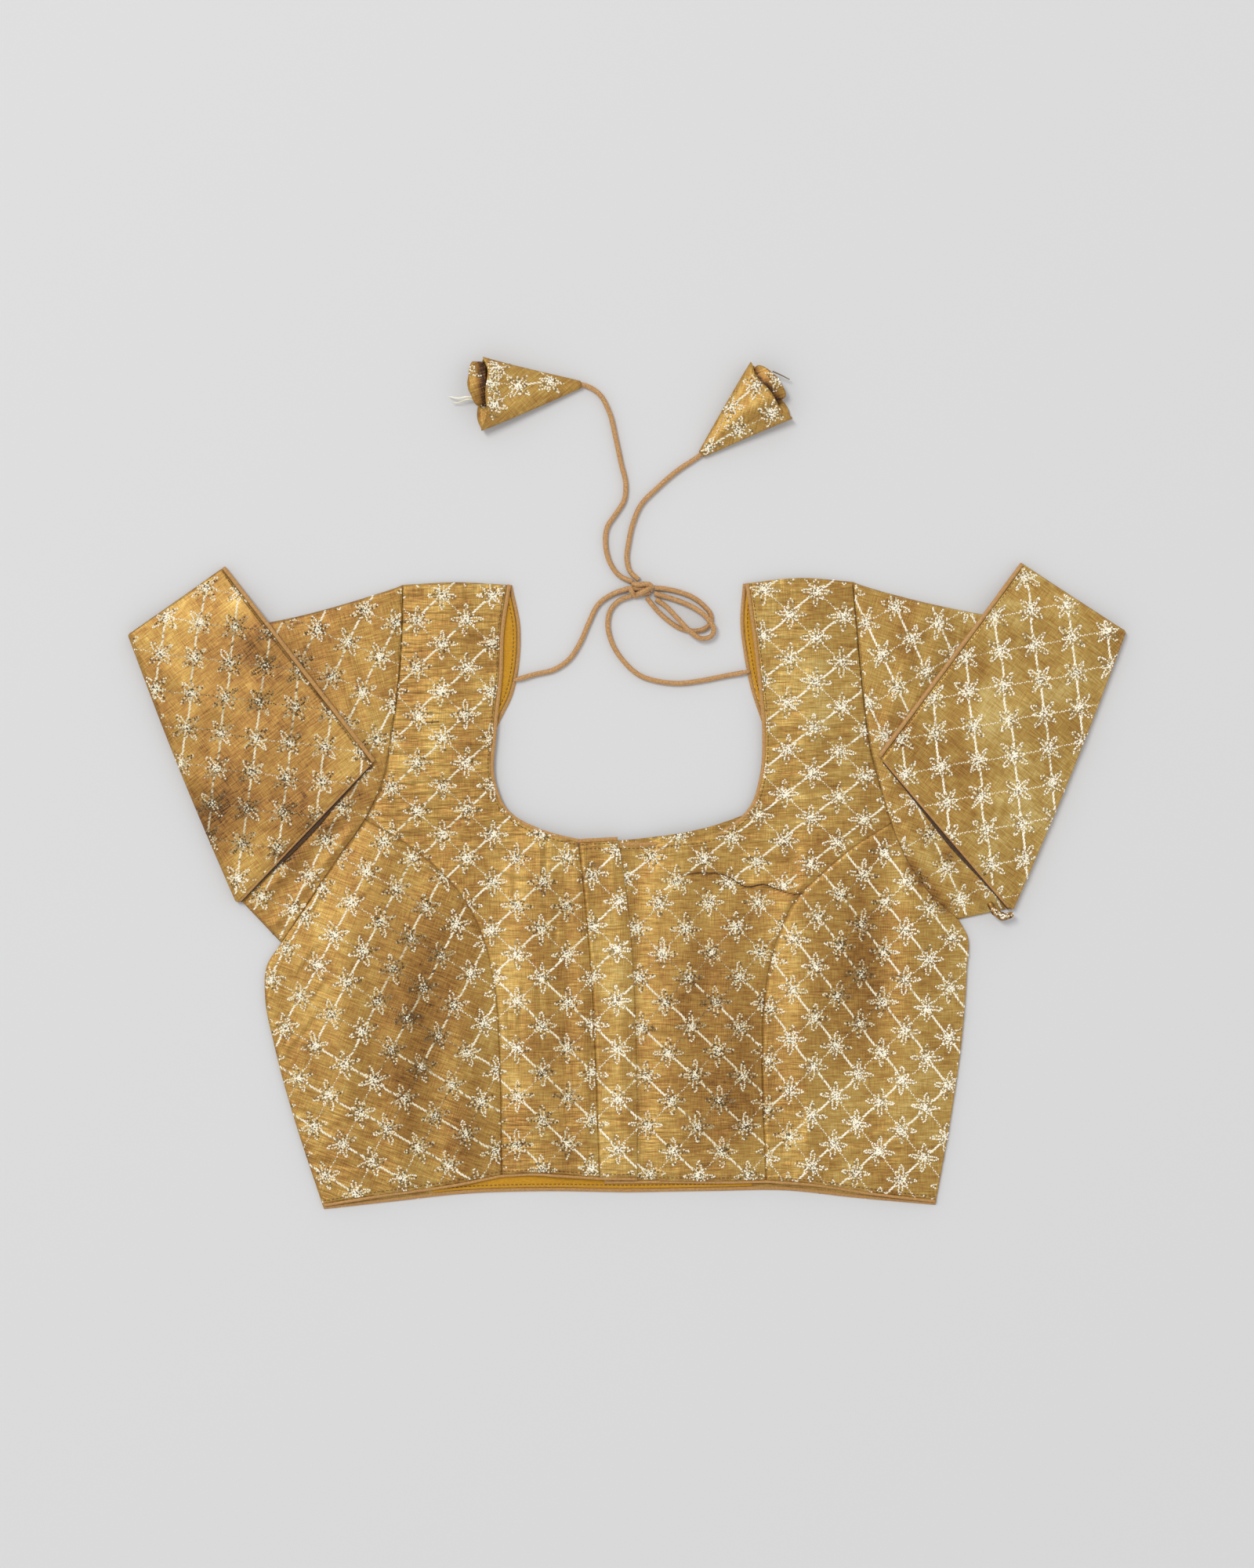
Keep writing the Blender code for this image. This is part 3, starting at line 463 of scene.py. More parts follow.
def seam_tree():
    samples = []
    for rows, depth, width in SEAMS:
        fine, run = fine_curve(rows)
        for distance in np.arange(0, run[-1], 0.8):
            point = [np.interp(distance, run, fine[:, k]) for k in (0, 1)]
            samples.append((*point, distance, depth, width))
    tree = KDTree(len(samples))
    for index, sample in enumerate(samples):
        tree.insert((sample[0], sample[1], 0.0), index)
    tree.balance()
    return tree, np.array(samples)


SEAM_TREE, SEAM_SAMPLES = seam_tree()


def seam_relief(x, y):
    """The dip at the nearest seam and the puckers beside it."""
    found = [SEAM_TREE.find((a, b, 0.0)) for a, b in zip(x.ravel(), y.ravel())]
    index = np.array([f[1] for f in found])
    distance = np.array([f[2] for f in found]).reshape(x.shape)
    along, depth, width = (SEAM_SAMPLES[index, k].reshape(x.shape) for k in (2, 3, 4))
    dip = -depth * np.exp(-((distance / width) ** 2))
    phase = along / 6.5 + 1.7 * noise(along / 19.0, x * 0 + 0.5, 11)
    strength = 0.16 * (1 + noise(along / 31.0, y * 0 + 0.5, 12))
    return dip + strength * np.exp(-distance / 7.0) * np.sin(2 * math.pi * phase)


def front_base(x, y, lapped):
    inside = np.maximum(0.0, outer_x(x, y) - np.abs(x))
    eased = (1 - np.exp(-inside / SIDE_EASE)) * (1 - np.exp(-np.abs(SHOULDER_Y - y) / SHOULDER_EASE))
    height = FRONT_BOTTOM + WALL + eased * (FRONT_RISE + ridges(x, y, FRONT_FOLDS))
    if lapped:
        height = height + LAP_RISE * smoothstep((x - LAP_START) / (LAP_END - LAP_START))
    return height


# Folds that the light picks out. They run downwards, and each flank has its own half width
# Columns: x0, y0, x1, y1, half width on the right of the picture and on the left, height
LIT_FOLDS = (
    (-66.0, 4.0, -66.0, -92.0, 22.0, 12.0, 1.5),
    (-29.0, 12.0, -25.0, -150.0, 5.0, 8.0, 0.9),
    (-5.0, 16.0, 0.0, -172.0, 6.0, 9.0, 0.8),
    (18.0, 8.0, 20.0, -165.0, 42.0, 7.0, 1.7),
    (106.0, -8.0, 108.0, -125.0, 32.0, 12.0, 2.0),
    (178.0, 12.0, 178.0, -80.0, 25.0, 17.0, 1.6),
    (-147.0, 30.0, -156.0, -28.0, 20.0, 26.0, 1.6),
    (-156.0, -28.0, -172.0, -95.0, 34.0, 26.0, 1.8),
    (-60.0, -130.0, -62.0, -176.0, 16.0, 12.0, 0.8),
    (-150.0, -120.0, -140.0, -185.0, 14.0, 16.0, 0.8),
    (120.0, -150.0, 124.0, -186.0, 16.0, 12.0, 0.7),
)


# Where short creases lie, and how many. Columns: x from, x to, y from, y to, count, length, tilt, depth
CREASE_ZONES = (
    (-134.0, -84.0, 96.0, 178.0, 15, 24.0, 0.05, 0.30),
    (-140.0, -80.0, 28.0, 96.0, 26, 28.0, 0.02, 0.48),
    (86.0, 136.0, 100.0, 178.0, 15, 24.0, -0.06, 0.30),
    (84.0, 144.0, 26.0, 100.0, 30, 28.0, -0.10, 0.50),
    (-120.0, -45.0, -12.0, 30.0, 10, 26.0, -0.25, 0.34),
    (22.0, 110.0, -14.0, 26.0, 13, 30.0, -0.12, 0.42),
    (-74.0, -26.0, -174.0, -122.0, 12, 20.0, -0.12, 0.40),
    (16.0, 80.0, -172.0, -84.0, 17, 24.0, -0.10, 0.42),
    (-192.0, -82.0, -186.0, -128.0, 14, 26.0, -0.12, 0.32),
    (90.0, 186.0, -186.0, -130.0, 14, 26.0, 0.10, 0.32),
    (-205.0, -150.0, -110.0, 0.0, 8, 30.0, 0.9, 0.25),
    (150.0, 200.0, -110.0, 0.0, 8, 30.0, -0.9, 0.25),
    (-72.0, -34.0, -110.0, 20.0, 8, 40.0, 1.6, 0.34),
    (-20.0, 4.0, -170.0, 20.0, 7, 30.0, 1.6, 0.25),
)


def short_creases():
    """A table of short creases, each with a trough and the ridge above it."""
    rng = np.random.default_rng(7)
    table = []
    for x0, x1, y0, y1, count, length, tilt, depth in CREASE_ZONES:
        for _ in range(count):
            x, y = rng.uniform(x0, x1), rng.uniform(y0, y1)
            half = length * rng.uniform(0.25, 0.6)
            angle = tilt + rng.normal(0, 0.09)
            width = rng.uniform(1.1, 2.2)
            table.append((x, y, angle, half, width, depth * rng.uniform(0.5, 1.25)))
    return table


SHORT_CREASES = short_creases()
# Creases that show one by one. Columns: x, y, angle, half length, half width, depth
CLEAR_CREASES = (
    (-118.0, 39.0, -0.1, 14.0, 1.5, 0.6),
    (-110.0, 98.0, 0.02, 18.0, 1.3, 0.5),
    (-96.0, 83.0, 0.03, 14.0, 1.3, 0.5),
    (112.0, 62.0, -0.15, 24.0, 1.5, 0.7),
    (104.0, 44.0, -0.12, 26.0, 1.5, 0.7),
    (118.0, 88.0, -0.12, 20.0, 1.4, 0.6),
    (50.0, -72.0, -0.05, 26.0, 2.0, 0.6),
    (44.0, -88.0, 0.04, 20.0, 1.6, 0.5),
    (56.0, -52.0, -0.1, 18.0, 1.6, 0.4),
    (-52.0, -146.0, -0.3, 16.0, 1.8, 0.6),
    (-62.0, -158.0, 0.1, 14.0, 1.6, 0.5),
)


# A curved tuck below the bust, on the left of the front. Columns: x, y
TUCK = (
    (24.0, 8.0),
    (31.0, 6.6),
    (46.0, 7.6),
    (60.3, 6.0),
    (73.3, -1.0),
    (84.1, 0.4),
    (94.9, -3.7),
    (105.8, -5.3),
    (112.0, -4.0),
)


def past_tuck(x, y):
    """How far a point lies above the tuck, and how strong the tuck is there."""
    line = fine_curve(TUCK)[0]
    strength = smoothstep((x - 26.0) / 12.0) * smoothstep((112.0 - x) / 10.0)
    return y - np.interp(x, line[:, 0], line[:, 1]), strength


def tuck_relief(x, y):
    past, strength = past_tuck(x, y)
    lip = np.exp(-(((past - 1.6) / 1.5) ** 2))
    return strength * (0.75 * lip - 0.55 * np.exp(-((past / 0.9) ** 2)))


def crease_relief(x, y):
    total = np.zeros_like(x)
    for cx, cy, angle, half, width, depth in (*SHORT_CREASES, *CLEAR_CREASES):
        c, s = math.cos(angle), math.sin(angle)
        along = ((x - cx) * c + (y - cy) * s) / half
        off = -(x - cx) * s + (y - cy) * c - 0.05 * half * (1 - along**2)
        end = np.exp(-(along**4))
        trough = -np.exp(-((off / width) ** 2))
        ridge = 0.75 * np.exp(-(((off - 1.9 * width) / (1.3 * width)) ** 2))
        total += depth * end * (trough + ridge)
    return total


def lit_folds(x, y):
    total = np.zeros_like(x)
    for x0, y0, x1, y1, right_width, left_width, height in LIT_FOLDS:
        run = np.array([x1 - x0, y1 - y0])
        t = np.clip(((x - x0) * run[0] + (y - y0) * run[1]) / run.dot(run), 0, 1)
        past_x, past_y = x - x0 - t * run[0], y - y0 - t * run[1]
        width = np.where(past_x * -run[1] + past_y * run[0] > 0, right_width, left_width)
        distance = np.hypot(past_x, past_y)
        total = np.maximum(total, height * np.exp(-((distance / width) ** 2)))
    return total


def front_relief(x, y):
    strap = smoothstep((y - 5) / 60.0)
    puckers = strap * 0.2 * noise(x / 30.0 + 0.15 * noise(x / 9, y / 9, 3), y / 5.0, 1)
    soft = 0.35 * noise(x / 23.0, y / 70.0, 5) + 0.12 * noise(x / 9.0, y / 22.0, 6)
    folds = lit_folds(x, y) + crease_relief(x, y) + tuck_relief(x, y)
    return puckers + soft + folds + seam_relief(x, y)


def front_height(lapped):
    def height(x, y):
        return front_base(x, y, lapped) + front_relief(x, y)

    return height


def patch(top, outer, bottom, inner):
    """A grid of plan points between four edges. Outer and inner run from the top to the bottom."""
    rows, columns = len(outer), len(top)
    down = np.linspace(0, 1, rows)[:, None, None]
    across = np.linspace(0, 1, columns)[None, :, None]
    ruled = (1 - across) * outer[:, None] + across * inner[:, None]
    top_off = top - (1 - across[0]) * outer[0] - across[0] * inner[0]
    bottom_off = bottom - (1 - across[0]) * outer[-1] - across[0] * inner[-1]
    fade = (1 - down) ** 4 * top_off[None] + down**4 * bottom_off[None]
    return ruled + fade


def inset(grid, outer, inner, top, bottom):
    """Pulls a plan grid's borders inwards by these widths and spreads the points between them again."""

    def squeezed(line, first, last):
        run = np.concatenate([[0.0], np.cumsum(np.linalg.norm(np.diff(line, axis=0), axis=1))])
        wanted = first + run / run[-1] * (run[-1] - first - last)
        return np.stack([np.interp(wanted, run, line[:, k]) for k in (0, 1)], axis=1)

    rows, columns = grid.shape[:2]
    outer, inner = np.broadcast_to(outer, rows), np.broadcast_to(inner, rows)
    grid = np.array([squeezed(grid[i], outer[i], inner[i]) for i in range(rows)])
    grid = np.array([squeezed(grid[:, j], top, bottom) for j in range(columns)])
    return grid.transpose(1, 0, 2)


def mesh_object(name, points, faces, material, smooth=True):
    mesh = bpy.data.meshes.new(name)
    mesh.from_pydata((np.asarray(points, float) * METRES_PER_MM).tolist(), [], faces)
    mesh.update()
    made = bpy.data.objects.new(name, mesh)
    bpy.context.scene.collection.objects.link(made)
    mesh.materials.append(material)
    if smooth:
        mesh.shade_smooth()
    return made


def set_uv(made, coordinates):
    """Lays each vertex's cloth coordinates, in mm along and across the weft, into the UV map, in cm."""
    mesh = made.data
    layer = mesh.uv_layers.new(name="grain")
    index = np.empty(len(mesh.loops), int)
    mesh.loops.foreach_get("vertex_index", index)
    layer.data.foreach_set("uv", (np.asarray(coordinates)[index] / 10.0).ravel())


def set_value(made, values, name="tone"):
    """One number for each vertex, for a material to read."""
    attribute = made.data.attributes.new(name, "FLOAT", "POINT")
    attribute.data.foreach_set("value", np.asarray(values, np.float32))


def rim_loop(rows, columns):
    rim = [(0, j) for j in range(columns - 1)]
    rim += [(i, columns - 1) for i in range(rows - 1)]
    rim += [(rows - 1, j) for j in range(columns - 1, 0, -1)]
    rim += [(i, 0) for i in range(rows - 1, 0, -1)]
    return rim


# Broad patches of copper or gold: partly the shot cloth's two tones, mostly painted light and shade.
# Painted shade: folds, the armhole's crease, under the flaps' edges. Painted light and shade: bands, caps,
# flaps.
# Columns: x, y, half width x, y, tone
PAINTED_LIGHT_AND_TONES = (
    (-130.0, -70.0, 26.0, 70.0, -0.75),
    (-100.0, -150.0, 30.0, 26.0, -0.35),
    (50.0, -70.0, 30.0, 42.0, -0.5),
    (60.0, -135.0, 24.0, 26.0, -0.55),
    (142.0, -50.0, 18.0, 50.0, -0.6),
    (-75.0, -60.0, 12.0, 60.0, 0.5),
    (-190.0, -60.0, 26.0, 60.0, 0.3),
    (98.0, -60.0, 12.0, 50.0, 0.45),
    (180.0, -90.0, 26.0, 60.0, 0.3),
    (-10.0, -80.0, 10.0, 90.0, 0.5),
    (216.0, 135.0, 9.0, 11.0, -0.6),
    (199.0, 88.0, 12.0, 7.0, -0.4),
    (207.0, 70.0, 11.0, 7.0, -0.5),
    (250.0, 91.0, 14.0, 7.0, -0.45),
    (259.0, 74.0, 9.0, 6.0, -0.35),
    (172.0, 84.0, 7.0, 9.0, -0.5),
    (224.0, 103.0, 12.0, 10.0, 0.4),
    (239.0, 45.0, 12.0, 16.0, 0.5),
    (280.0, 138.0, 9.0, 16.0, 0.5),
    (262.0, 118.0, 12.0, 9.0, 0.3),
    (-275.0, 162.0, 12.0, 14.0, 0.3),
    (-239.0, 177.0, 9.0, 10.0, 0.4),
    (-219.0, 79.0, 14.0, 16.0, 0.25),
    (-231.0, 155.0, 10.0, 10.0, -0.4),
    (-214.0, 132.0, 9.0, 12.0, -0.35),
    (-195.0, 98.0, 9.0, 12.0, -0.35),
    (-248.0, 44.0, 20.0, 24.0, -0.7),
    (-205.0, 48.0, 14.0, 14.0, -0.5),
    (-207.0, 18.0, 9.0, 5.0, -1.3),
    (-186.0, 36.0, 8.0, 6.0, -0.9),
    (-166.0, 58.0, 6.0, 7.0, -0.7),
    (199.0, 19.0, 8.0, 6.0, -0.7),
    (185.0, 34.0, 7.0, 7.0, -0.5),
    (215.0, 5.0, 8.0, 6.0, -0.6),
    (174.0, 12.0, 4.0, 6.0, -1.2),
    (181.0, 3.0, 4.0, 6.0, -1.4),
    (188.0, -5.0, 4.0, 6.0, -1.4),
    (195.0, -13.0, 4.5, 5.0, -1.2),
    (166.0, 0.0, 6.0, 14.0, 0.5),
    (-232.0, 100.0, 64.0, 92.0, -0.4),
    (-228.0, 125.0, 30.0, 30.0, -0.25),
    (236.0, 100.0, 64.0, 92.0, 0.45),
    (112.0, 110.0, 34.0, 70.0, 0.4),
    (-52.0, -12.0, 26.0, 24.0, -0.3),
    (-44.0, -120.0, 22.0, 50.0, -0.35),
    (160.0, -140.0, 44.0, 34.0, 0.35),
    (98.0, -60.0, 12.0, 60.0, -0.3),
    (-190.0, -80.0, 30.0, 60.0, -0.25),
    (5.7, -10.0, 4.0, 5.0, -0.5),
)


def cloth_tone_and_shade(x, y):
    """From -1, copper, to 1, gold: random tone, painted light and shade, and painted shadow below the tuck.
    """
    total = 0.35 * noise(x / 17.0, y / 24.0, 21) + 0.25 * noise(x / 7.0, y / 9.0, 22)
    for px, py, width, height, tone in PAINTED_LIGHT_AND_TONES:
        total = total + tone * np.exp(-(((x - px) / width) ** 2) - ((y - py) / height) ** 2)
    # Painted shadow in the tuck's fold and just below it.
    past, strength = past_tuck(x, y)
    below = np.exp(-(((past + 0.4) / 0.9) ** 2)) + 0.25 * np.exp(-(((past + 4.0) / 4.0) ** 2))
    return total - 1.1 * strength * below


def pucker_strength(x, y):
    """How much the cloth puckers: most on the straps, some at the hem and the armholes."""
    strap = smoothstep((y - 2.0) / 40.0) * (np.abs(x) < 150)
    hem = smoothstep((-118.0 - y) / 40.0)
    return 0.25 + 0.75 * strap + 0.5 * hem * (np.abs(x) < 210)


RIM_ROUNDING, RIM_BULGE = 0.15, 0.12


def cloth_shell(name, grid, height, floor, grain, material, wall=WALL):
    """A thin shell over a plan grid, rounded at its rim. It stays above the floor height."""
    rows, columns = grid.shape[:2]
    flat = grid.reshape(-1, 2)
    x, y = flat[:, 0], flat[:, 1]
    z = height(x, y)
    under = np.maximum(z - wall, floor)
    rim = rim_loop(rows, columns)
    rim_index = np.array([i * columns + j for i, j in rim])
    on_rim = np.zeros(len(flat), bool)
    on_rim[rim_index] = True
    top = np.column_stack([flat, np.where(on_rim, z - RIM_ROUNDING, z)])
    low = np.column_stack([flat, under])
    loop = flat[rim_index]
    along = np.roll(loop, -1, axis=0) - np.roll(loop, 1, axis=0)
    away = np.stack([along[:, 1], -along[:, 0]], axis=1)
    away /= np.linalg.norm(away, axis=1)[:, None] + 1e-9
    area = np.sum(loop[:, 0] * np.roll(loop[:, 1], -1) - loop[:, 1] * np.roll(loop[:, 0], -1))
    away *= math.copysign(1.0, area)
    middle = np.column_stack([loop + away * RIM_BULGE, (top[rim_index, 2] + low[rim_index, 2]) / 2])
    points = np.concatenate([top, low, middle])
    count = len(flat)
    a = (np.arange(rows - 1)[:, None] * columns + np.arange(columns - 1)[None]).ravel()
    quads = np.stack([a, a + 1, a + columns + 1, a + columns], axis=1)
    if area < 0:
        quads = quads[:, ::-1]
    faces = quads.tolist() + (quads[:, ::-1] + count).tolist()
    size = len(rim_index)
    for k in range(size):
        n = (k + 1) % size
        upper = (rim_index[k], rim_index[n], 2 * count + n, 2 * count + k)
        lower = (2 * count + k, 2 * count + n, count + rim_index[n], count + rim_index[k])
        for face in (upper, lower):
            faces.append(tuple(int(v) for v in (face if area < 0 else face[::-1])))
    made = mesh_object(name, points, faces, material)
    plan = np.concatenate([flat, flat, loop])
    set_grain(made, plan, grain)
    set_value(made, cloth_tone_and_shade(plan[:, 0], plan[:, 1]))
    set_value(made, pucker_strength(plan[:, 0], plan[:, 1]), "pucker")
    return made


def set_grain(made, plan, angle):
    turn = np.radians(angle)
    across = plan[:, 0] * np.cos(turn) + plan[:, 1] * np.sin(turn)
    up = plan[:, 1] * np.cos(turn) - plan[:, 0] * np.sin(turn)
    set_uv(made, np.column_stack([across, up]))


# Materials


def shader_nodes(name, colour, roughness, metallic=0.0, **sockets):
    made = bpy.data.materials.new(name)
    made.use_nodes = True
    tree = made.node_tree
    shader = tree.nodes["Principled BSDF"]
    shader.inputs["Base Color"].default_value = (*colour, 1.0)
    shader.inputs["Roughness"].default_value = roughness
    shader.inputs["Metallic"].default_value = metallic
    for socket, value in sockets.items():
        shader.inputs[socket.replace("_", " ")].default_value = value
    made.diffuse_color = (*colour, 1.0)
    return made, tree, shader


def node(tree, kind, **values):
    made = tree.nodes.new(kind)
    for key, value in values.items():
        if isinstance(key, str) and key in made.inputs:
            made.inputs[key].default_value = value
        else:
            setattr(made, key, value)
    return made


def link(tree, source, socket, target, name):
    tree.links.new(source.outputs[socket], target.inputs[name])


def stretched_noise(tree, scale, detail=3.0, space="UV"):
    """A noise texture over the cloth's own coordinates, with its own scale each way."""
    where = node(tree, "ShaderNodeTexCoord")
    mapping = node(tree, "ShaderNodeMapping")
    mapping.inputs["Scale"].default_value = scale
    texture = node(tree, "ShaderNodeTexNoise")
    texture.inputs["Scale"].default_value = 1.0
    texture.inputs["Detail"].default_value = detail
    link(tree, where, space, mapping, "Vector")
    link(tree, mapping, "Vector", texture, "Vector")
    return texture


def math_node(tree, operation, first, second):
    made = node(tree, "ShaderNodeMath", operation=operation)
    for index, value in enumerate((first, second)):
        if isinstance(value, tuple):
            tree.links.new(value[0].outputs[value[1]], made.inputs[index])
        else:
            made.inputs[index].default_value = value
    return made


def scaled(tree, source, socket, factor, offset=0.0):
    """A node that multiplies a value and adds to it."""
    made = math_node(tree, "MULTIPLY_ADD", (source, socket), factor)
    made.inputs[2].default_value = offset
    return made


def ramp(tree, stops):
    made = node(tree, "ShaderNodeValToRGB")
    elements = made.color_ramp.elements
    while len(elements) < len(stops):
        elements.new(0.5)
    for element, (position, colour) in zip(elements, stops):
        element.position = position
        element.color = (*colour, 1.0)
    return made


def tissue_material():
    """Shot tissue. Its colour runs from copper to gold by tone, slubs and puckers; tone and puckers carry
    painted light and shade.
    """
    made, tree, shader = shader_nodes("tissue", (0.55, 0.32, 0.08), 0.46, 0.55, Anisotropic=0.6)
    tone = node(tree, "ShaderNodeAttribute", attribute_name="tone")
    slub = stretched_noise(tree, (1.3, 11.0, 1.0), 4.0)
    warp = stretched_noise(tree, (16.0, 1.2, 1.0), 3.0)
    cloud = stretched_noise(tree, (1.1, 1.6, 1.0), 4.0)
    strength = node(tree, "ShaderNodeAttribute", attribute_name="pucker")
    wave = stretched_noise(tree, (0.42, 2.7, 1.0), 2.0)
    centred = math_node(tree, "SUBTRACT", (wave, "Fac"), 0.5)
    pucker = math_node(tree, "MULTIPLY", (centred, "Value"), (strength, "Fac"))
    total = scaled(tree, tone, "Fac", 0.3, 0.5)
    for part in (
        scaled(tree, slub, "Fac", 0.9, -0.46),
        scaled(tree, warp, "Fac", 0.6, -0.3),
        scaled(tree, cloud, "Fac", 0.3, -0.15),
        # Painted light and shade: the colour lightens on the puckers' crests and darkens in their hollows.
        scaled(tree, pucker, "Value", 0.35),
    ):
        total = math_node(tree, "ADD", (total, "Value"), (part, "Value"))
    colours = ramp(
        tree,
        (
            (0.0, (0.04, 0.014, 0.003)),
            (0.17, (0.22, 0.095, 0.016)),
            (0.38, (0.345, 0.172, 0.034)),
            (0.62, (0.475, 0.292, 0.068)),
            (1.0, (0.74, 0.57, 0.22)),
        ),
    )
    link(tree, total, "Value", colours, "Fac")
    link(tree, colours, "Color", shader, "Base Color")
    tangent = node(tree, "ShaderNodeTangent", direction_type="UV_MAP", uv_map="grain")
    link(tree, tangent, "Tangent", shader, "Tangent")
    shader.inputs["Anisotropic Rotation"].default_value = 0.25
    weave = math_node(tree, "ADD", (slub, "Fac"), (warp, "Fac"))
    swell = node(tree, "ShaderNodeBump")
    swell.inputs["Strength"].default_value = 0.8
    swell.inputs["Distance"].default_value = 0.003
    link(tree, pucker, "Value", swell, "Height")
    bump = node(tree, "ShaderNodeBump")
    link(tree, swell, "Normal", bump, "Normal")
    bump.inputs["Strength"].default_value = 0.35
    bump.inputs["Distance"].default_value = 0.0004
    link(tree, weave, "Value", bump, "Height")
    link(tree, bump, "Normal", shader, "Normal")
    return made


def thread_material():
    made, tree, shader = shader_nodes("metal_thread", (0.85, 0.80, 0.62), 0.3, 0.2)
    tone = node(tree, "ShaderNodeAttribute", attribute_name="tone")
    colours = ramp(
        tree,
        (
            (0.0, (0.10, 0.06, 0.02)),
            (0.3, (0.40, 0.30, 0.15)),
            (0.62, (0.80, 0.72, 0.50)),
            (1.0, (0.97, 0.93, 0.78)),
        ),
    )
    link(tree, tone, "Fac", colours, "Fac")
    link(tree, colours, "Color", shader, "Base Color")
    return made


def soft_material(name, low, high, roughness, scale, sheen=0.0):
    """A matt or satin cloth whose colour wanders between two, with a fine bump."""
    made, tree, shader = shader_nodes(name, high, roughness)
    shader.inputs["Sheen Weight"].default_value = sheen
    texture = stretched_noise(tree, scale, 4.0, "Object")
    colours = ramp(tree, ((0.3, low), (0.7, high)))
    link(tree, texture, "Fac", colours, "Fac")
    link(tree, colours, "Color", shader, "Base Color")
    bump = node(tree, "ShaderNodeBump")
    bump.inputs["Strength"].default_value = 0.4
    bump.inputs["Distance"].default_value = 0.0003
    link(tree, texture, "Fac", bump, "Height")
    link(tree, bump, "Normal", shader, "Normal")
    return made


TISSUE = tissue_material()
THREAD = thread_material()
PLAIN_SCALE = (900, 900, 900)
PIPING_CLOTH = soft_material("piping", (0.33, 0.155, 0.032), (0.49, 0.26, 0.07), 0.5, PLAIN_SCALE, 0.1)
LINING_CLOTH = soft_material("lining", (0.44, 0.20, 0.008), (0.58, 0.29, 0.014), 0.95, (700, 1600, 700))
CORD_CLOTH = soft_material("cord", (0.26, 0.12, 0.035), (0.60, 0.335, 0.12), 0.55, (1400, 1400, 1400), 0.15)
# Near-black cloth: painted shadow in gaps and folds.
SHADED_CLOTH = soft_material("shaded_cloth", (0.03, 0.012, 0.004), (0.09, 0.04, 0.012), 0.8, PLAIN_SCALE)
DARK_STITCH = soft_material("dark_stitch", (0.10, 0.05, 0.02), (0.20, 0.11, 0.04), 0.6, PLAIN_SCALE)


def stand_for(made, *nodes):
    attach(made, "root")
    if nodes:
        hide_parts(*nodes)
    return made


# Camera, lights and floor


def add_stage():
    """The camera straight above, a sky that is brighter near the horizon, one large light and the floor."""
    data = bpy.data.cameras.new("camera")
    data.lens = 75.0
    data.sensor_width = 36.0
    camera = bpy.data.objects.new("camera", data)
    camera.location = (-0.0001, 0.062, 2.004)
    bpy.context.scene.collection.objects.link(camera)
    bpy.context.scene.camera = camera

    world = bpy.data.worlds.new("studio")
    bpy.context.scene.world = world
    world.use_nodes = True
    tree = world.node_tree
    where = node(tree, "ShaderNodeTexCoord")
    parts = node(tree, "ShaderNodeSeparateXYZ")
    link(tree, where, "Generated", parts, "Vector")
    low = scaled(tree, parts, "Z", -0.88, 1.36)
    strength = scaled(tree, parts, "X", 0.05)
    tree.links.new(low.outputs["Value"], strength.inputs[2])
    tree.links.new(strength.outputs["Value"], tree.nodes["Background"].inputs["Strength"])
    tree.nodes["Background"].inputs["Color"].default_value = (0.96, 0.97, 1.0, 1.0)
    bpy.context.scene.view_settings.view_transform = "Standard"
    light = bpy.data.lights.new("key", "AREA")
    light.shape = "RECTANGLE"
    light.size, light.size_y = 1.6, 3.0
    light.energy = 225.0
    key = bpy.data.objects.new("key", light)
    key.location = (-2.4, 2.6, 6.0)
    key.rotation_euler = (-key.location).to_track_quat("-Z", "Y").to_euler()
    bpy.context.scene.collection.objects.link(key)

    floor_cloth, _, _ = shader_nodes("floor", (0.62, 0.615, 0.605), 0.9)
    half = 4000.0
    corners = [(-half, -half, -0.05), (half, -half, -0.05), (half, half, -0.05), (-half, half, -0.05)]
    floor = mesh_object("floor", corners, [(0, 1, 2, 3)], floor_cloth)


# Body panels


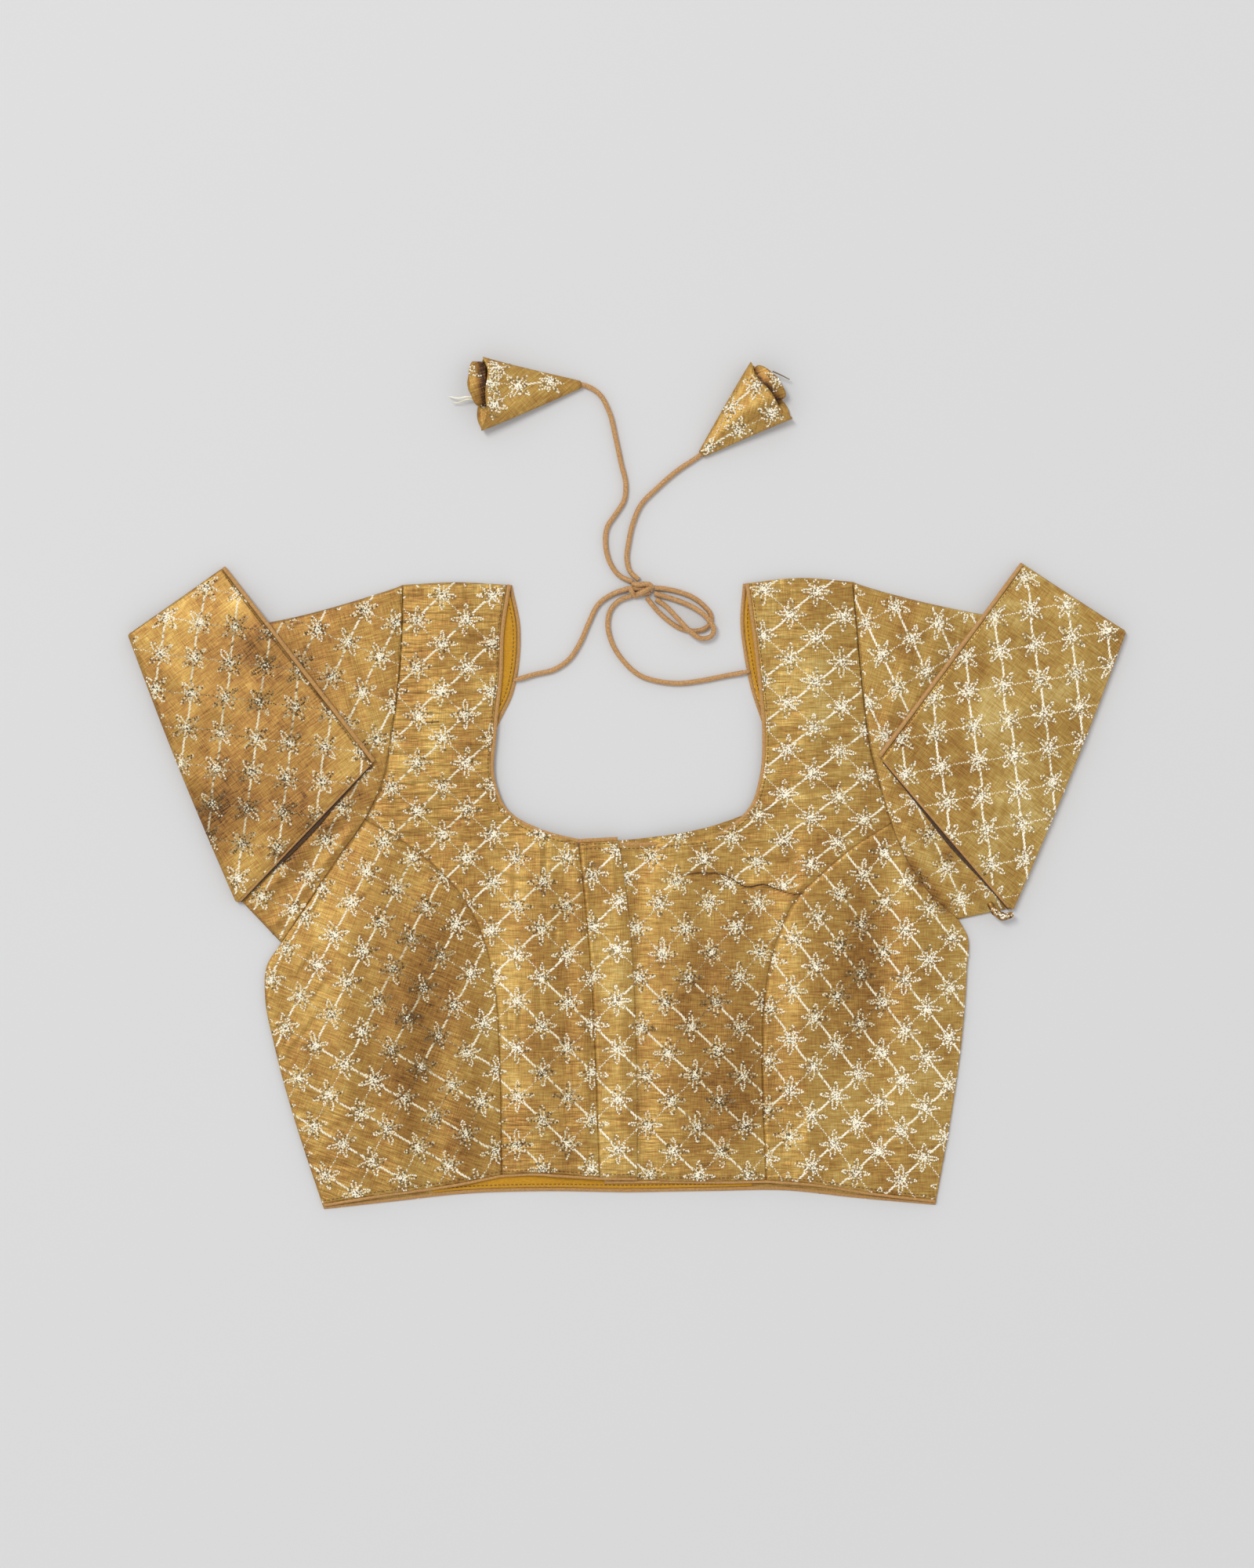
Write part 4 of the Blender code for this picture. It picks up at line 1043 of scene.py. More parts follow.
def build_front():
    made = {}
    for side, word in ((right, "right"), (left, "left")):
        height = front_height(side is right)
        strap_rows, lower_rows, columns = 118, 118, 64
        rows = armhole_rows(side)
        fine, run = fine_curve(rows)
        split = run[24 * (len(ARMHOLE_UPPER) - 1)] / run[-1]
        strap = smooth_curve(rows, np.linspace(0, split, strap_rows))
        lower_armhole = smooth_curve(rows, np.linspace(split, 1, 70))
        princess = even(side(PRINCESS_SEAM), lower_rows)
        centre = centre_edge(side, np.linspace(0, 1, lower_rows))
        grid = patch(
            even(side(SHOULDER), columns),
            joined(strap, princess),
            even(hem_rows(side), columns),
            joined(even(neck_rows(side), strap_rows), centre),
        )
        inner = np.where(np.arange(len(grid)) < strap_rows, PIPING, 0.0)
        inner = np.convolve(np.pad(inner, 3, mode="edge"), np.ones(7) / 7, mode="valid")
        grid = inset(grid, 0.1, inner, 0.1, HEM_PIPING)
        piece = cloth_shell(f"panel_centre_{word}", grid, height, FRONT_LOWEST, 0.0, TISSUE)
        made[f"front_centre_{word}"] = stand_for(piece, f"front_centre_{word}")

        grid = patch(
            lower_armhole[::-1],
            even(side(SIDE_SEAM), lower_rows),
            even(side(HEM_SIDE), 70),
            princess,
        )
        grid = inset(grid, 0.1, 0.1, 0.1, HEM_PIPING)
        angle = -20.0 if side is right else 0.0
        piece = cloth_shell(f"panel_side_{word}", grid, height, FRONT_LOWEST, angle, TISSUE)
        made[f"front_side_{word}"] = stand_for(piece, f"front_side_{word}")
    seam, edge = (placket_edge(k, np.linspace(0, 1, 130)) for k in (0, 2))
    ends = [np.linspace(seam[k], edge[k], 18) for k in (0, -1)]
    grid = inset(patch(ends[0], seam, ends[1], edge), 0.1, 0.0, PIPING, HEM_PIPING)
    piece = cloth_shell("placket_strip", grid, front_height(True), FRONT_LOWEST, 0.0, TISSUE)
    made["placket"] = stand_for(piece, "placket")
    return made


def build_back():
    def back_height(x, y):
        return BACK_TOP - 0.05 + 0 * x

    inner, halves = [], []
    for side in (right, left):
        armhole = even(armhole_rows(side), 50)
        seam = even(side(SIDE_SEAM)[:-1] + side(BACK_HEM)[:1], 40)
        hem = even(side(BACK_HEM), 40)
        halves.append(joined(armhole, seam, hem))
        inner.append(even(side(BACK_NECK), len(halves[-1])))
    outer = joined(halves[0], halves[1][::-1])
    neck = joined(inner[0], inner[1][::-1])
    ends = [np.linspace(outer[k], neck[k], 40) for k in (0, -1)]
    grid = inset(patch(ends[0], outer, ends[1], neck), 0.1, PIPING, 0.0, 0.0)
    piece = cloth_shell("panel_back", grid, back_height, BACK_LOWEST, 0.0, TISSUE)
    return stand_for(piece, "back")


def plan_normals(path):
    """Unit normals on the left of a plan path."""
    along = np.gradient(path, axis=0)
    along /= np.linalg.norm(along, axis=1)[:, None]
    return np.stack([-along[:, 1], along[:, 0]], axis=1)


def rings_mesh(name, rings, material, closed_ends=True):
    """A closed bar from rings of equal count, or a band whose last ring meets its first."""
    rings = np.asarray(rings, float)
    total, count = rings.shape[:2]
    faces = []
    pairs = [(k, k + 1) for k in range(total - 1)]
    if not closed_ends:
        pairs.append((total - 1, 0))
    for first, second in pairs:
        for j in range(count):
            after = (j + 1) % count
            a, b = first * count, second * count
            faces.append((a + j, a + after, b + after, b + j))
    if closed_ends:
        faces.append(tuple(range(count))[::-1])
        faces.append(tuple((total - 1) * count + j for j in range(count)))
    made = mesh_object(name, rings.reshape(-1, 3), faces, material)
    shape = bmesh.new()
    shape.from_mesh(made.data)
    bmesh.ops.recalc_face_normals(shape, faces=shape.faces)
    if shape.calc_volume(signed=True) < 0:
        bmesh.ops.reverse_faces(shape, faces=shape.faces)
    shape.to_mesh(made.data)
    shape.free()
    return made


# Sleeves


# How many rings of points make the part before the fold, the fold and the flap
CAP_RINGS, FOLD_RINGS, FLAP_RINGS = 40, 11, 45


class Sleeve:
    """A flat tube from the armhole to the cuff, turned over on itself at the fold."""

    def __init__(self, side, flap):
        corner = {name: np.array([x, y]) for name, x, y in flap}
        self.half = SLEEVE_HOLLOW / 2 + WALL
        self.radius = self.half + FOLD_SPACE
        run = corner["fold_top"] - corner["fold_low"]
        self.length = np.linalg.norm(run)
        self.along = run / self.length
        outward = np.array([-self.along[1], self.along[0]])
        self.outward = outward * math.copysign(1.0, outward[0] * corner["fold_top"][0])
        reach = self.outward * (self.radius + self.half)
        self.fold_low, self.fold_top = corner["fold_low"] - reach, corner["fold_top"] - reach
        self.cuff_low, self.cuff_top = corner["cuff_low"], corner["cuff_top"]
        cuff_run = (self.cuff_top - self.cuff_low) / np.linalg.norm(self.cuff_top - self.cuff_low)
        self.cuff_inward = np.array([-cuff_run[1], cuff_run[0]])
        if self.cuff_inward.dot(self.fold_low - self.cuff_low) < 0:
            self.cuff_inward = -self.cuff_inward
        self.armhole_rows = armhole_rows(side)[::-1]
        self.extra_dip = RIGHT_TOP_DIP if side is right else 0.0
        self.shoulder = np.array(side(ARMHOLE_UPPER)[0])
        even_steps = np.linspace(0, 1, 88)
        self.samples = 0.55 * even_steps + 0.45 * (1 - np.cos(math.pi * even_steps)) / 2

    def armhole(self, fractions):
        path = smooth_curve(self.armhole_rows, np.linspace(0, 1, 81))
        away = plan_normals(path)
        away *= np.sign(away[:, :1] * path[:, :1])
        return smooth_curve(path + away * SEAM, fractions)

    def fold(self, fractions):
        bow = 1.6 * np.sin(math.pi * np.asarray(fractions))
        line = self.fold_low + np.outer(fractions, self.fold_top - self.fold_low)
        return line + np.outer(bow, self.outward)

    def cuff(self, fractions, inset_by):
        line = self.cuff_low + np.outer(fractions, self.cuff_top - self.cuff_low)
        return line + self.cuff_inward * inset_by

    def lofts(self, plan, fractions):
        """How much the folded layers rise at these plan points: what lies below, and the flap's own."""
        from_low = plan - self.fold_low
        inwards = np.maximum(0.0, -from_low @ self.outward)
        eased = 1 - np.exp(-inwards / SIDE_EASE)
        crown = np.sin(math.pi * np.clip(from_low @ self.along / self.length, 0, 1)) ** 0.5
        below = eased * (SLEEVE_LOFT * crown + ridges(*plan.T, SLEEVE_FOLDS))
        own = FLAP_LOFT * eased * np.sin(math.pi * fractions)
        edge = self.fold_top - self.shoulder
        above = np.array([-edge[1], edge[0]]) / np.linalg.norm(edge)
        above *= math.copysign(1.0, above[1])
        droop = FLAP_DROOP * smoothstep((plan - self.shoulder) @ above / DROOP_LENGTH)
        return below, own, droop

    def ring(self, plan_of, angle, half=None, seen=0.0, from_seam=1000.0):
        """One loop round the tube. Its relief is on the side that faces up, before the fold and after it."""
        half = self.half if half is None else half
        width = np.linalg.norm(np.diff(plan_of(np.array([0.0, 1.0])), axis=0))
        edge = RING_EDGE * (1 - (half - SLEEVE_HOLLOW / 2) / WALL) / width
        edge = max(edge, 0.0)
        samples = edge + self.samples * (1 - 2 * edge)
        plan = plan_of(samples)
        near = np.minimum(self.samples, 1 - self.samples) * width
        profile = np.sqrt(1 - (1 - np.clip(near / 1.3, 0, 1)) ** 2)
        below, own, droop = self.lofts(plan, samples)
        below = below * (1 - math.exp(-from_seam / 7.0)) - 0.1 * math.exp(-((from_seam / 1.3) ** 2))
        turned = (1 - math.cos(angle)) / 2
        loops = []
        for layer in (-1, 1):
            height = layer * half * profile
            radius = self.radius - height
            across = plan + np.outer(radius * math.sin(angle), self.outward)
            z = self.half + self.radius - radius * math.cos(angle)
            if layer > 0:
                z = z + below
                relief = seen * (1 - turned) * cap_relief(across[:, 0], across[:, 1])
            else:
                z = z + (below + own) * turned + UNDER_THREAD * profile * (1 - turned) * (seen > 0)
                relief = seen * turned * flap_relief(across[:, 0], across[:, 1], near, samples)
            z = z + relief * profile - droop * turned
            loops.append(np.column_stack([across, z]))
        return np.concatenate([loops[0], loops[1][-2:0:-1]])

    def inner_stretch(self, fractions, t):
        """A line across the sleeve between its armhole and its fold. The shoulder end dips on the way."""
        line = (1 - t) * self.armhole(fractions) + t * self.fold(fractions)
        middle = math.sin(math.pi * t)
        dip = SLEEVE_TOP_DIP * middle**0.7 + self.extra_dip * middle**1.8
        dip = dip * np.asarray(fractions) ** 4
        return line - np.outer(dip, (0.0, 1.0))

    def flap_stretch(self, fractions, t):
        """A line across the flap between the fold and the cuff."""
        return (1 - t) * self.fold(fractions) + t * self.cuff(fractions, BOUND)

    def rings(self):
        """(plan function, fold angle, distance along the sleeve) from the armhole to the cuff's piping."""
        found = []
        for t in np.linspace(0, 1, CAP_RINGS, endpoint=False) ** 1.25:
            found.append((partial(self.inner_stretch, t=t), 0.0, 95 * t))
        for k in range(FOLD_RINGS):
            found.append((self.fold, math.pi * k / (FOLD_RINGS - 1), 95 + k))
        for t in np.linspace(0, 1, FLAP_RINGS + 1)[1:]:
            found.append((partial(self.flap_stretch, t=t), math.pi, 105 + 110 * t))
        return found


# Creases on the sleeves that show. Columns: x0, y0, x1, y1, half width, height
CAP_CREASES = (
    (-194.0, 165.0, -163.0, 84.0, 3.6, 0.75),
    (-183.0, 170.0, -156.0, 96.0, 3.2, 0.6),
    (-168.0, 172.0, -150.0, 110.0, 4.0, 0.35),
    (-228.0, -12.0, -172.0, 50.0, 3.4, 0.9),
    (-216.0, -24.0, -168.0, 34.0, 3.0, 0.8),
    (-205.0, -22.0, -180.0, 8.0, 3.0, 0.5),
    (196.0, 165.0, 166.0, 84.0, 3.6, 0.6),
    (184.0, 170.0, 158.0, 96.0, 3.2, 0.5),
    (228.0, -8.0, 176.0, 50.0, 3.6, 0.9),
    (216.0, -14.0, 172.0, 34.0, 3.0, 0.8),
)
FLAP_CREASES = (
    (-282.0, 130.0, -232.0, 96.0, 6.0, 0.5),
    (-268.0, 100.0, -206.0, 130.0, 7.0, 0.45),
    (-262.0, 62.0, -214.0, 40.0, 8.0, 0.5),
    (-236.0, 172.0, -214.0, 138.0, 6.0, 0.4),
    (282.0, 140.0, 236.0, 104.0, 6.0, 0.5),
    (272.0, 96.0, 212.0, 132.0, 7.0, 0.45),
    (258.0, 58.0, 210.0, 44.0, 8.0, 0.5),
)


def cap_relief(x, y):
    return ridges(x, y, CAP_CREASES) + 0.22 * noise(x / 9.0, y / 16.0, 31)


def flap_relief(x, y, near, samples):
    seam = -0.3 * np.exp(-(((near - 2.4) / 0.8) ** 2)) * (samples < 0.5)
    return ridges(x, y, FLAP_CREASES) + 0.3 * noise(x / 17.0, y / 17.0, 32) + seam


def build_sleeves():
    made = {}
    for side, word, flap in ((right, "right", FLAP_RIGHT), (left, "left", FLAP_LEFT)):
        sleeve = Sleeve(side, flap)
        outer = []
        for plan_of, angle, distance in sleeve.rings():
            outer.append(sleeve.ring(plan_of, angle, seen=1.0, from_seam=distance))
        hollow = sleeve.rings()[::-6] + [sleeve.rings()[0]]
        inner = [sleeve.ring(plan_of, angle, SLEEVE_HOLLOW / 2) for plan_of, angle, _ in hollow]
        rings = np.array(outer + inner)
        piece = rings_mesh(f"sleeve_tube_{word}", rings, TISSUE, closed_ends=False)
        plan = rings[:, :, :2].reshape(-1, 2)
        on_flap = np.repeat([45 < k < 100 for k in range(len(rings))], rings.shape[1])
        cap_angle, flap_angle = (16.0, 37.0) if side is right else (-18.0, -37.0)
        set_grain(piece, plan, np.where(on_flap, flap_angle, cap_angle))
        set_value(piece, cloth_tone_and_shade(plan[:, 0], plan[:, 1]))
        stand_for(piece, f"sleeve_{word}")
        made[f"sleeve_{word}"] = piece
        made[f"sleeve_{word}_rings"] = (sleeve, rings)
        band = []
        # The piping's section. Columns: distance in from the cuff's edge, half height
        for inset_by, half in (
            (PIPING, 1.3),
            (2.5, 1.5),
            (1.6, 1.6),
            (0.7, 1.5),
            (0.15, 1.15),
            (0.0, 0.75),
            (0.15, 0.4),
            (0.7, 0.2),
            (PIPING, SLEEVE_HOLLOW / 2),
        ):
            band.append(sleeve.ring(partial(sleeve.cuff, inset_by=inset_by), math.pi, half))
        cuff = rings_mesh(f"cuff_binding_{word}", band, PIPING_CLOTH, closed_ends=False)
        stand_for(cuff, f"cuff_piping_{word}")
        made[f"cuff_{word}"] = cuff
    return made


# Piping and lining


def bound_edge(name, path, cloth_side, bottom, node_name):
    """A rolled edge of piping along a panel's finished edge."""
    steps = max(12, int(np.linalg.norm(np.diff(path, axis=0), axis=1).sum() / 1.6))
    path = smooth_curve(path, np.linspace(0, 1, steps))
    normals = plan_normals(path) * cloth_side
    width = HEM_PIPING if name.startswith("hem") else PIPING
    rings = []
    for k, (point, inward) in enumerate(zip(path, normals)):
        z = bottom(*(point + inward * BOUND)) + WALL / 2
        swell = 1 + 0.05 * math.sin(k * 0.9) + 0.04 * math.sin(k * 2.3 + 1)
        ring = []
        for angle in np.linspace(0, 2 * math.pi, 12, endpoint=False):
            across = width / 2 * (1 - math.copysign(abs(math.cos(angle)) ** 0.7, math.cos(angle)))
            up = 0.72 * swell * math.copysign(abs(math.sin(angle)) ** 0.8, math.sin(angle))
            ring.append((*(point + inward * across), z + max(up, -WALL / 2)))
        rings.append(ring)
    return stand_for(rings_mesh(name, rings, PIPING_CLOTH), node_name)


def lapped_base(x, y):
    return float(front_base(np.array([x]), np.array([y]), True)[0]) - WALL


def plain_base(x, y):
    return float(front_base(np.array([x]), np.array([y]), False)[0]) - WALL


def flat_base(x, y):
    return 0.0


def back_hem_edge():
    halves = [even(side(BACK_HEM), 60) for side in (right, left)]
    return joined(halves[0], halves[1][::-1])


def back_neck_edge():
    halves = [even(side(BACK_NECK), 120) for side in (right, left)]
    return joined(halves[0], halves[1][::-1])


def bound_paths():
    """(name, path, which side the cloth is, base height, node) of each piping but the sleeves' own."""
    seam, edge = (placket_edge(k, np.array([0.0, 1.0])) for k in (0, 2))
    top, bottom = ([seam[k], edge[k]] for k in (0, 1))
    necks, hems = [], []
    for side in (right, left):
        necks.append(even(neck_rows(side), 80))
        hems.append(joined(even(side(HEM_SIDE), 40), even(hem_rows(side), 40)))
    neck_left, hem_left = necks[1], hems[1]
    neck_right = joined(necks[0], np.linspace(*top, 9))
    hem_right = joined(hems[0], np.linspace(*bottom, 9))
    return (
        ("neck_binding_right", neck_right, -1, lapped_base, "neck_piping_right"),
        ("hem_binding_right", hem_right, 1, lapped_base, "hem_piping_right"),
        ("neck_binding_left", neck_left, 1, plain_base, "neck_piping_left"),
        ("hem_binding_left", hem_left, -1, plain_base, "hem_piping_left"),
        ("back_neck_binding", back_neck_edge(), -1, flat_base, "back_neck_piping"),
        ("back_hem_binding", back_hem_edge(), 1, flat_base, "back_hem_piping"),
    )


def build_linings():
    made = {}
    both_hems = right(BACK_HEM) + left(BACK_HEM)[-2::-1]
    for name, rows, span, cloth_side, node_name in (
        ("lining_strip_right", right(BACK_NECK), LINING_NECK_SPAN, -1, "lining_neck_right"),
        ("lining_strip_left", left(BACK_NECK), LINING_NECK_SPAN, 1, "lining_neck_left"),
        ("lining_strip_hem", both_hems, LINING_HEM_SPAN, 1, "lining_hem"),
    ):
        path = smooth_curve(rows, np.linspace(*span, 110))
        normals = plan_normals(path) * cloth_side
        outer, inner = path + normals * BOUND, path + normals * (BOUND + LINING_WIDTH)
        ends = [np.linspace(outer[k], inner[k], 12) for k in (0, -1)]
        grid = patch(ends[0], outer, ends[1], inner)

        def height(x, y):
            return FRONT_BOTTOM + 0.85 + 0.12 * noise(x / 7.0, y / 7.0, 41)

        piece = cloth_shell(name, grid, height, FRONT_BOTTOM, 0.0, LINING_CLOTH, wall=0.8)
        made[name] = stand_for(piece, node_name)
    return made


# Cords, knot and tassels


def build_cords():
    made = {}
    for name, route in CORDS.items():
        points = np.array([(x, y, CORD / 2 + 0.02 + lift) for x, y, lift in route])
        if name in SEWN_IN:
            points = np.concatenate([points, [SEWN_IN[name]]])
        if name in SEWN_ON:
            points[0, 2] += 0.85
            points = np.concatenate([[SEWN_ON[name]], points])
        path = even(points, 60)
        sewn = np.linalg.norm(path - path[0], axis=1)
        thinned = 0.5 if name in SEWN_ON else 0.0
        path = path * METRES_PER_MM
        curve = bpy.data.curves.new(f"{name}_cord", "CURVE")
        curve.dimensions = "3D"
        curve.bevel_depth = CORD / 2 * METRES_PER_MM
        curve.bevel_resolution = 5
        curve.use_fill_caps = True
        spline = curve.splines.new("POLY")
        spline.points.add(len(path) - 1)
        for point, position, along in zip(spline.points, path, sewn):
            point.co = (*position, 1.0)
            point.radius = 1.0 - thinned * math.exp(-((along / 2.4) ** 2))
        spline.use_smooth = True
        curve.materials.append(CORD_CLOTH)
        cord = bpy.data.objects.new(f"{name}_cord", curve)
        bpy.context.scene.collection.objects.link(cord)
        made[name] = (stand_for(cord, name), path)
    return made


def tube_points(path, radius, sides=10):
    """Rings of a round tube along a path in space."""
    along = np.gradient(path, axis=0)
    along /= np.linalg.norm(along, axis=1)[:, None]
    across = np.cross(along, (0.0, 0.0, 1.0))
    across /= np.linalg.norm(across, axis=1)[:, None] + 1e-9
    up = np.cross(across, along)
    angles = np.linspace(0, 2 * math.pi, sides, endpoint=False)
    radius = np.broadcast_to(radius, len(path))
    return (
        path[:, None]
        + radius[:, None, None] * np.cos(angles)[None, :, None] * across[:, None]
        + radius[:, None, None] * np.sin(angles)[None, :, None] * up[:, None]
    )


# The turns of cord that make the knot. Columns: x, y, z of points from the knot's centre
KNOT_TURNS = (
    (
        (-7.0, 1.6, 2.6),
        (-6.2, -1.4, 3.6),
        (-4.6, -3.9, 2.6),
        (-3.4, -4.2, 1.6),
    ),
    (
        (-5.4, 3.4, 2.2),
        (-2.4, 2.6, 4.4),
        (1.6, 3.0, 4.9),
        (4.8, 2.6, 4.0),
        (6.6, 0.8, 2.6),
    ),
    (
        (5.9, 1.6, 2.8),
        (2.6, -0.8, 4.8),
        (-0.8, -2.4, 4.6),
        (-2.8, -3.6, 2.8),
        (-2.9, -4.0, 1.7),
    ),
    (
        (-6.4, 0.6, 1.7),
        (-2.0, 0.4, 2.2),
        (2.6, 0.2, 2.4),
        (6.4, -0.6, 1.8),
    ),
    (
        (-4.4, -3.2, 1.7),
        (0.2, -2.8, 1.8),
        (5.0, -1.8, 1.8),
    ),
)


def build_knot():
    points, faces = [], []
    for turn in KNOT_TURNS:
        path = even(np.array(turn), 22)
        path = path + np.array([*KNOT_CENTRE, 0.0])
        rings = tube_points(path, 1.6, 12)
        start = len(points)
        points.extend(rings.reshape(-1, 3))
        for k in range(len(rings) - 1):
            for j in range(12):
                a, b = start + k * 12 + j, start + k * 12 + (j + 1) % 12
                faces.append((a, b, b + 12, a + 12))
        faces.append(tuple(range(start, start + 12))[::-1])
        faces.append(tuple(range(start + (len(rings) - 1) * 12, start + len(rings) * 12)))
    points = np.array(points)
    points[:, 2] = np.maximum(points[:, 2], 0.02)
    knot = mesh_object("knot_turns", points, faces, CORD_CLOTH)
    return stand_for(knot, "knot")


def roll_faces(steps, turns):
    """The faces of a rolled sheet: both sides, its two ends and its two free edges."""
    faces = []
    layer = steps * turns
    for i in range(steps - 1):
        for j in range(turns - 1):
            a = i * turns + j
            faces.append((a, a + turns, a + turns + 1, a + 1))
            faces.append((layer + a, layer + a + 1, layer + a + turns + 1, layer + a + turns))
    for j in range(turns - 1):
        a, b = j, (steps - 1) * turns + j
        faces.append((a, a + 1, layer + a + 1, layer + a))
        faces.append((b + 1, b, layer + b, layer + b + 1))
    for i in range(steps - 1):
        a, b = i * turns, i * turns + turns - 1
        faces.append((a + turns, a, layer + a, layer + a + turns))
        faces.append((b, b + turns, layer + b + turns, layer + b))
    return faces


def build_tassels():
    """Each tassel: cloth rolled a bit more than once round a flat cone, with more cloth in its mouth."""
    made, inner = {}, {}
    for name, apex_x, apex_y, mouth_x, mouth_y, width, lip in CONES:
        apex, mouth = np.array([apex_x, apex_y]), np.array([mouth_x, mouth_y])
        axis = (mouth - apex) / np.linalg.norm(mouth - apex)
        across = np.array([-axis[1], axis[0]])
        start = 0.62 * math.pi if name == "tassel_right" else 0.3 * math.pi

        def sheet_point(t, u, depth):
            """A point of the rolled cloth: t from the apex, u round the roll, and depth into its wall."""
            turn = u * ROLL_OVERLAP
            angle = start + turn * 2 * math.pi
            under = smoothstep((ROLL_OVERLAP - 1 - turn) / 0.1)
            over = smoothstep((turn - 1.0) / 0.06)
            half_width = CONE_TIP + t * (width / 2 - CONE_TIP)
            half_height = CONE_TIP + t * (CONE_MOUTH_HEIGHT / 2 - CONE_TIP)
            inward = depth + (0.15 + 0.9 * t) * under - 0.2 * over * t
            push = lip * t**4 * math.cos(angle + CONE_LIP_TURN)
            crumple = 0.5 * t * math.sin(3 * angle + 9 * t) + 0.35 * t * math.sin(7 * angle - 5 * t)
            x, y = (
                apex
                + t * (mouth - apex)
                + across * (half_width - inward) * math.cos(angle)
                + axis * (push + 0.8 * t**6 * math.sin(5 * angle))
            )
            z = half_height + 0.02 + max(half_height - inward + crumple - 0.5 * t, 0.4) * math.sin(angle)
            return (x, y, max(z, 0.03))

        points = []
        for depth in (0.0, ROLL_WALL):
            for t in np.linspace(0, 1, ROLL_STEPS):
                points.extend(sheet_point(t, u, depth) for u in np.linspace(0, 1, ROLL_TURNS))
        points = np.array(points)
        piece = mesh_object(f"{name}_roll", points, roll_faces(ROLL_STEPS, ROLL_TURNS), TISSUE)
        shape = bmesh.new()
        shape.from_mesh(piece.data)
        bmesh.ops.recalc_face_normals(shape, faces=shape.faces)
        shape.to_mesh(piece.data)
        shape.free()
        set_grain(piece, points[:, :2], math.degrees(math.atan2(axis[1], axis[0])) + 35)
        set_value(piece, cloth_tone_and_shade(points[:, 0], points[:, 1]) * 0.5)
        made[name] = stand_for(piece, name)
        inner[name] = add_inner_cloth(name, apex, mouth, width)
    return made, inner


def add_inner_cloth(name, apex, mouth, width):
    """The crumpled end of the cloth that shows inside a tassel's mouth."""
    axis = (mouth - apex) / np.linalg.norm(mouth - apex)
    across = np.array([-axis[1], axis[0]])
    shift = -0.15 * width if name == "tassel_right" else 0.1 * width
    rings = []
    for layer in (0.0, 0.7):
        ring_range = np.linspace(0.78, 1.0, 12)
        for t in ring_range if layer == 0.0 else ring_range[::-1]:
            ring = []
            for angle in np.linspace(0, 2 * math.pi, 60, endpoint=False):
                reach = 14.0 * (t - 0.72) / 0.28
                reach += t * (0.7 * math.sin(3 * angle) - 4.5 * math.cos(angle) ** 2)
                half_width = width * 0.29 * (0.55 + 0.5 * t) - layer
                half_height = 4.6 * (0.6 + 0.4 * t) - layer
                crumple = 0.7 * math.sin(3 * angle + 4 * t) * t
                start = mouth + axis * (reach - 6.0) + across * shift
                x, y = start + across * half_width * math.cos(angle)
                z = 5.8 + (half_height + crumple) * math.sin(angle)
                ring.append((x, y, max(z, 0.05)))
            rings.append(ring)
    inner = rings_mesh(f"{name}_inner", rings, TISSUE, closed_ends=False)
    flat = np.array(rings).reshape(-1, 3)[:, :2]
    set_grain(inner, flat, 20.0)
    # Painted shade: the cloth darkens the deeper it lies inside the mouth.
    past_mouth = (flat - mouth) @ axis
    set_value(inner, -0.1 - 1.5 * smoothstep((4.0 - past_mouth) / 5.0))
    return stand_for(inner)


# Embroidery

STAR_PETALS = (
    # steps of the lattice: first, second, reach, how far the two rows of beads stand apart,
    # and how much the shade around it darkens it
    # The last column weights the painted shade: threads in some directions catch less light in the darker
    # patches.
    (1.0, 1.0, 9.2, 1.36, 0.5),
    (1.0, 0.0, 6.2, 0.88, 1.0),
    (1.0, -1.0, 9.4, 1.08, 1.3),
    (0.0, -1.0, 6.2, 0.88, 1.0),
    (-1.0, -1.0, 9.2, 1.36, 0.5),
    (-1.0, 0.0, 6.2, 0.88, 1.0),
    (-1.0, 1.0, 9.4, 1.08, 1.3),
    (0.0, 1.0, 6.2, 0.88, 1.0),
)


def turned(direction, angle):
    c, s = math.cos(angle), math.sin(angle)
    return np.array([direction[0] * c - direction[1] * s, direction[0] * s + direction[1] * c])


def bead(place, direction, half_length, half_width, tone, shaded):
    return (*place, *direction, half_length, half_width, tone, shaded)


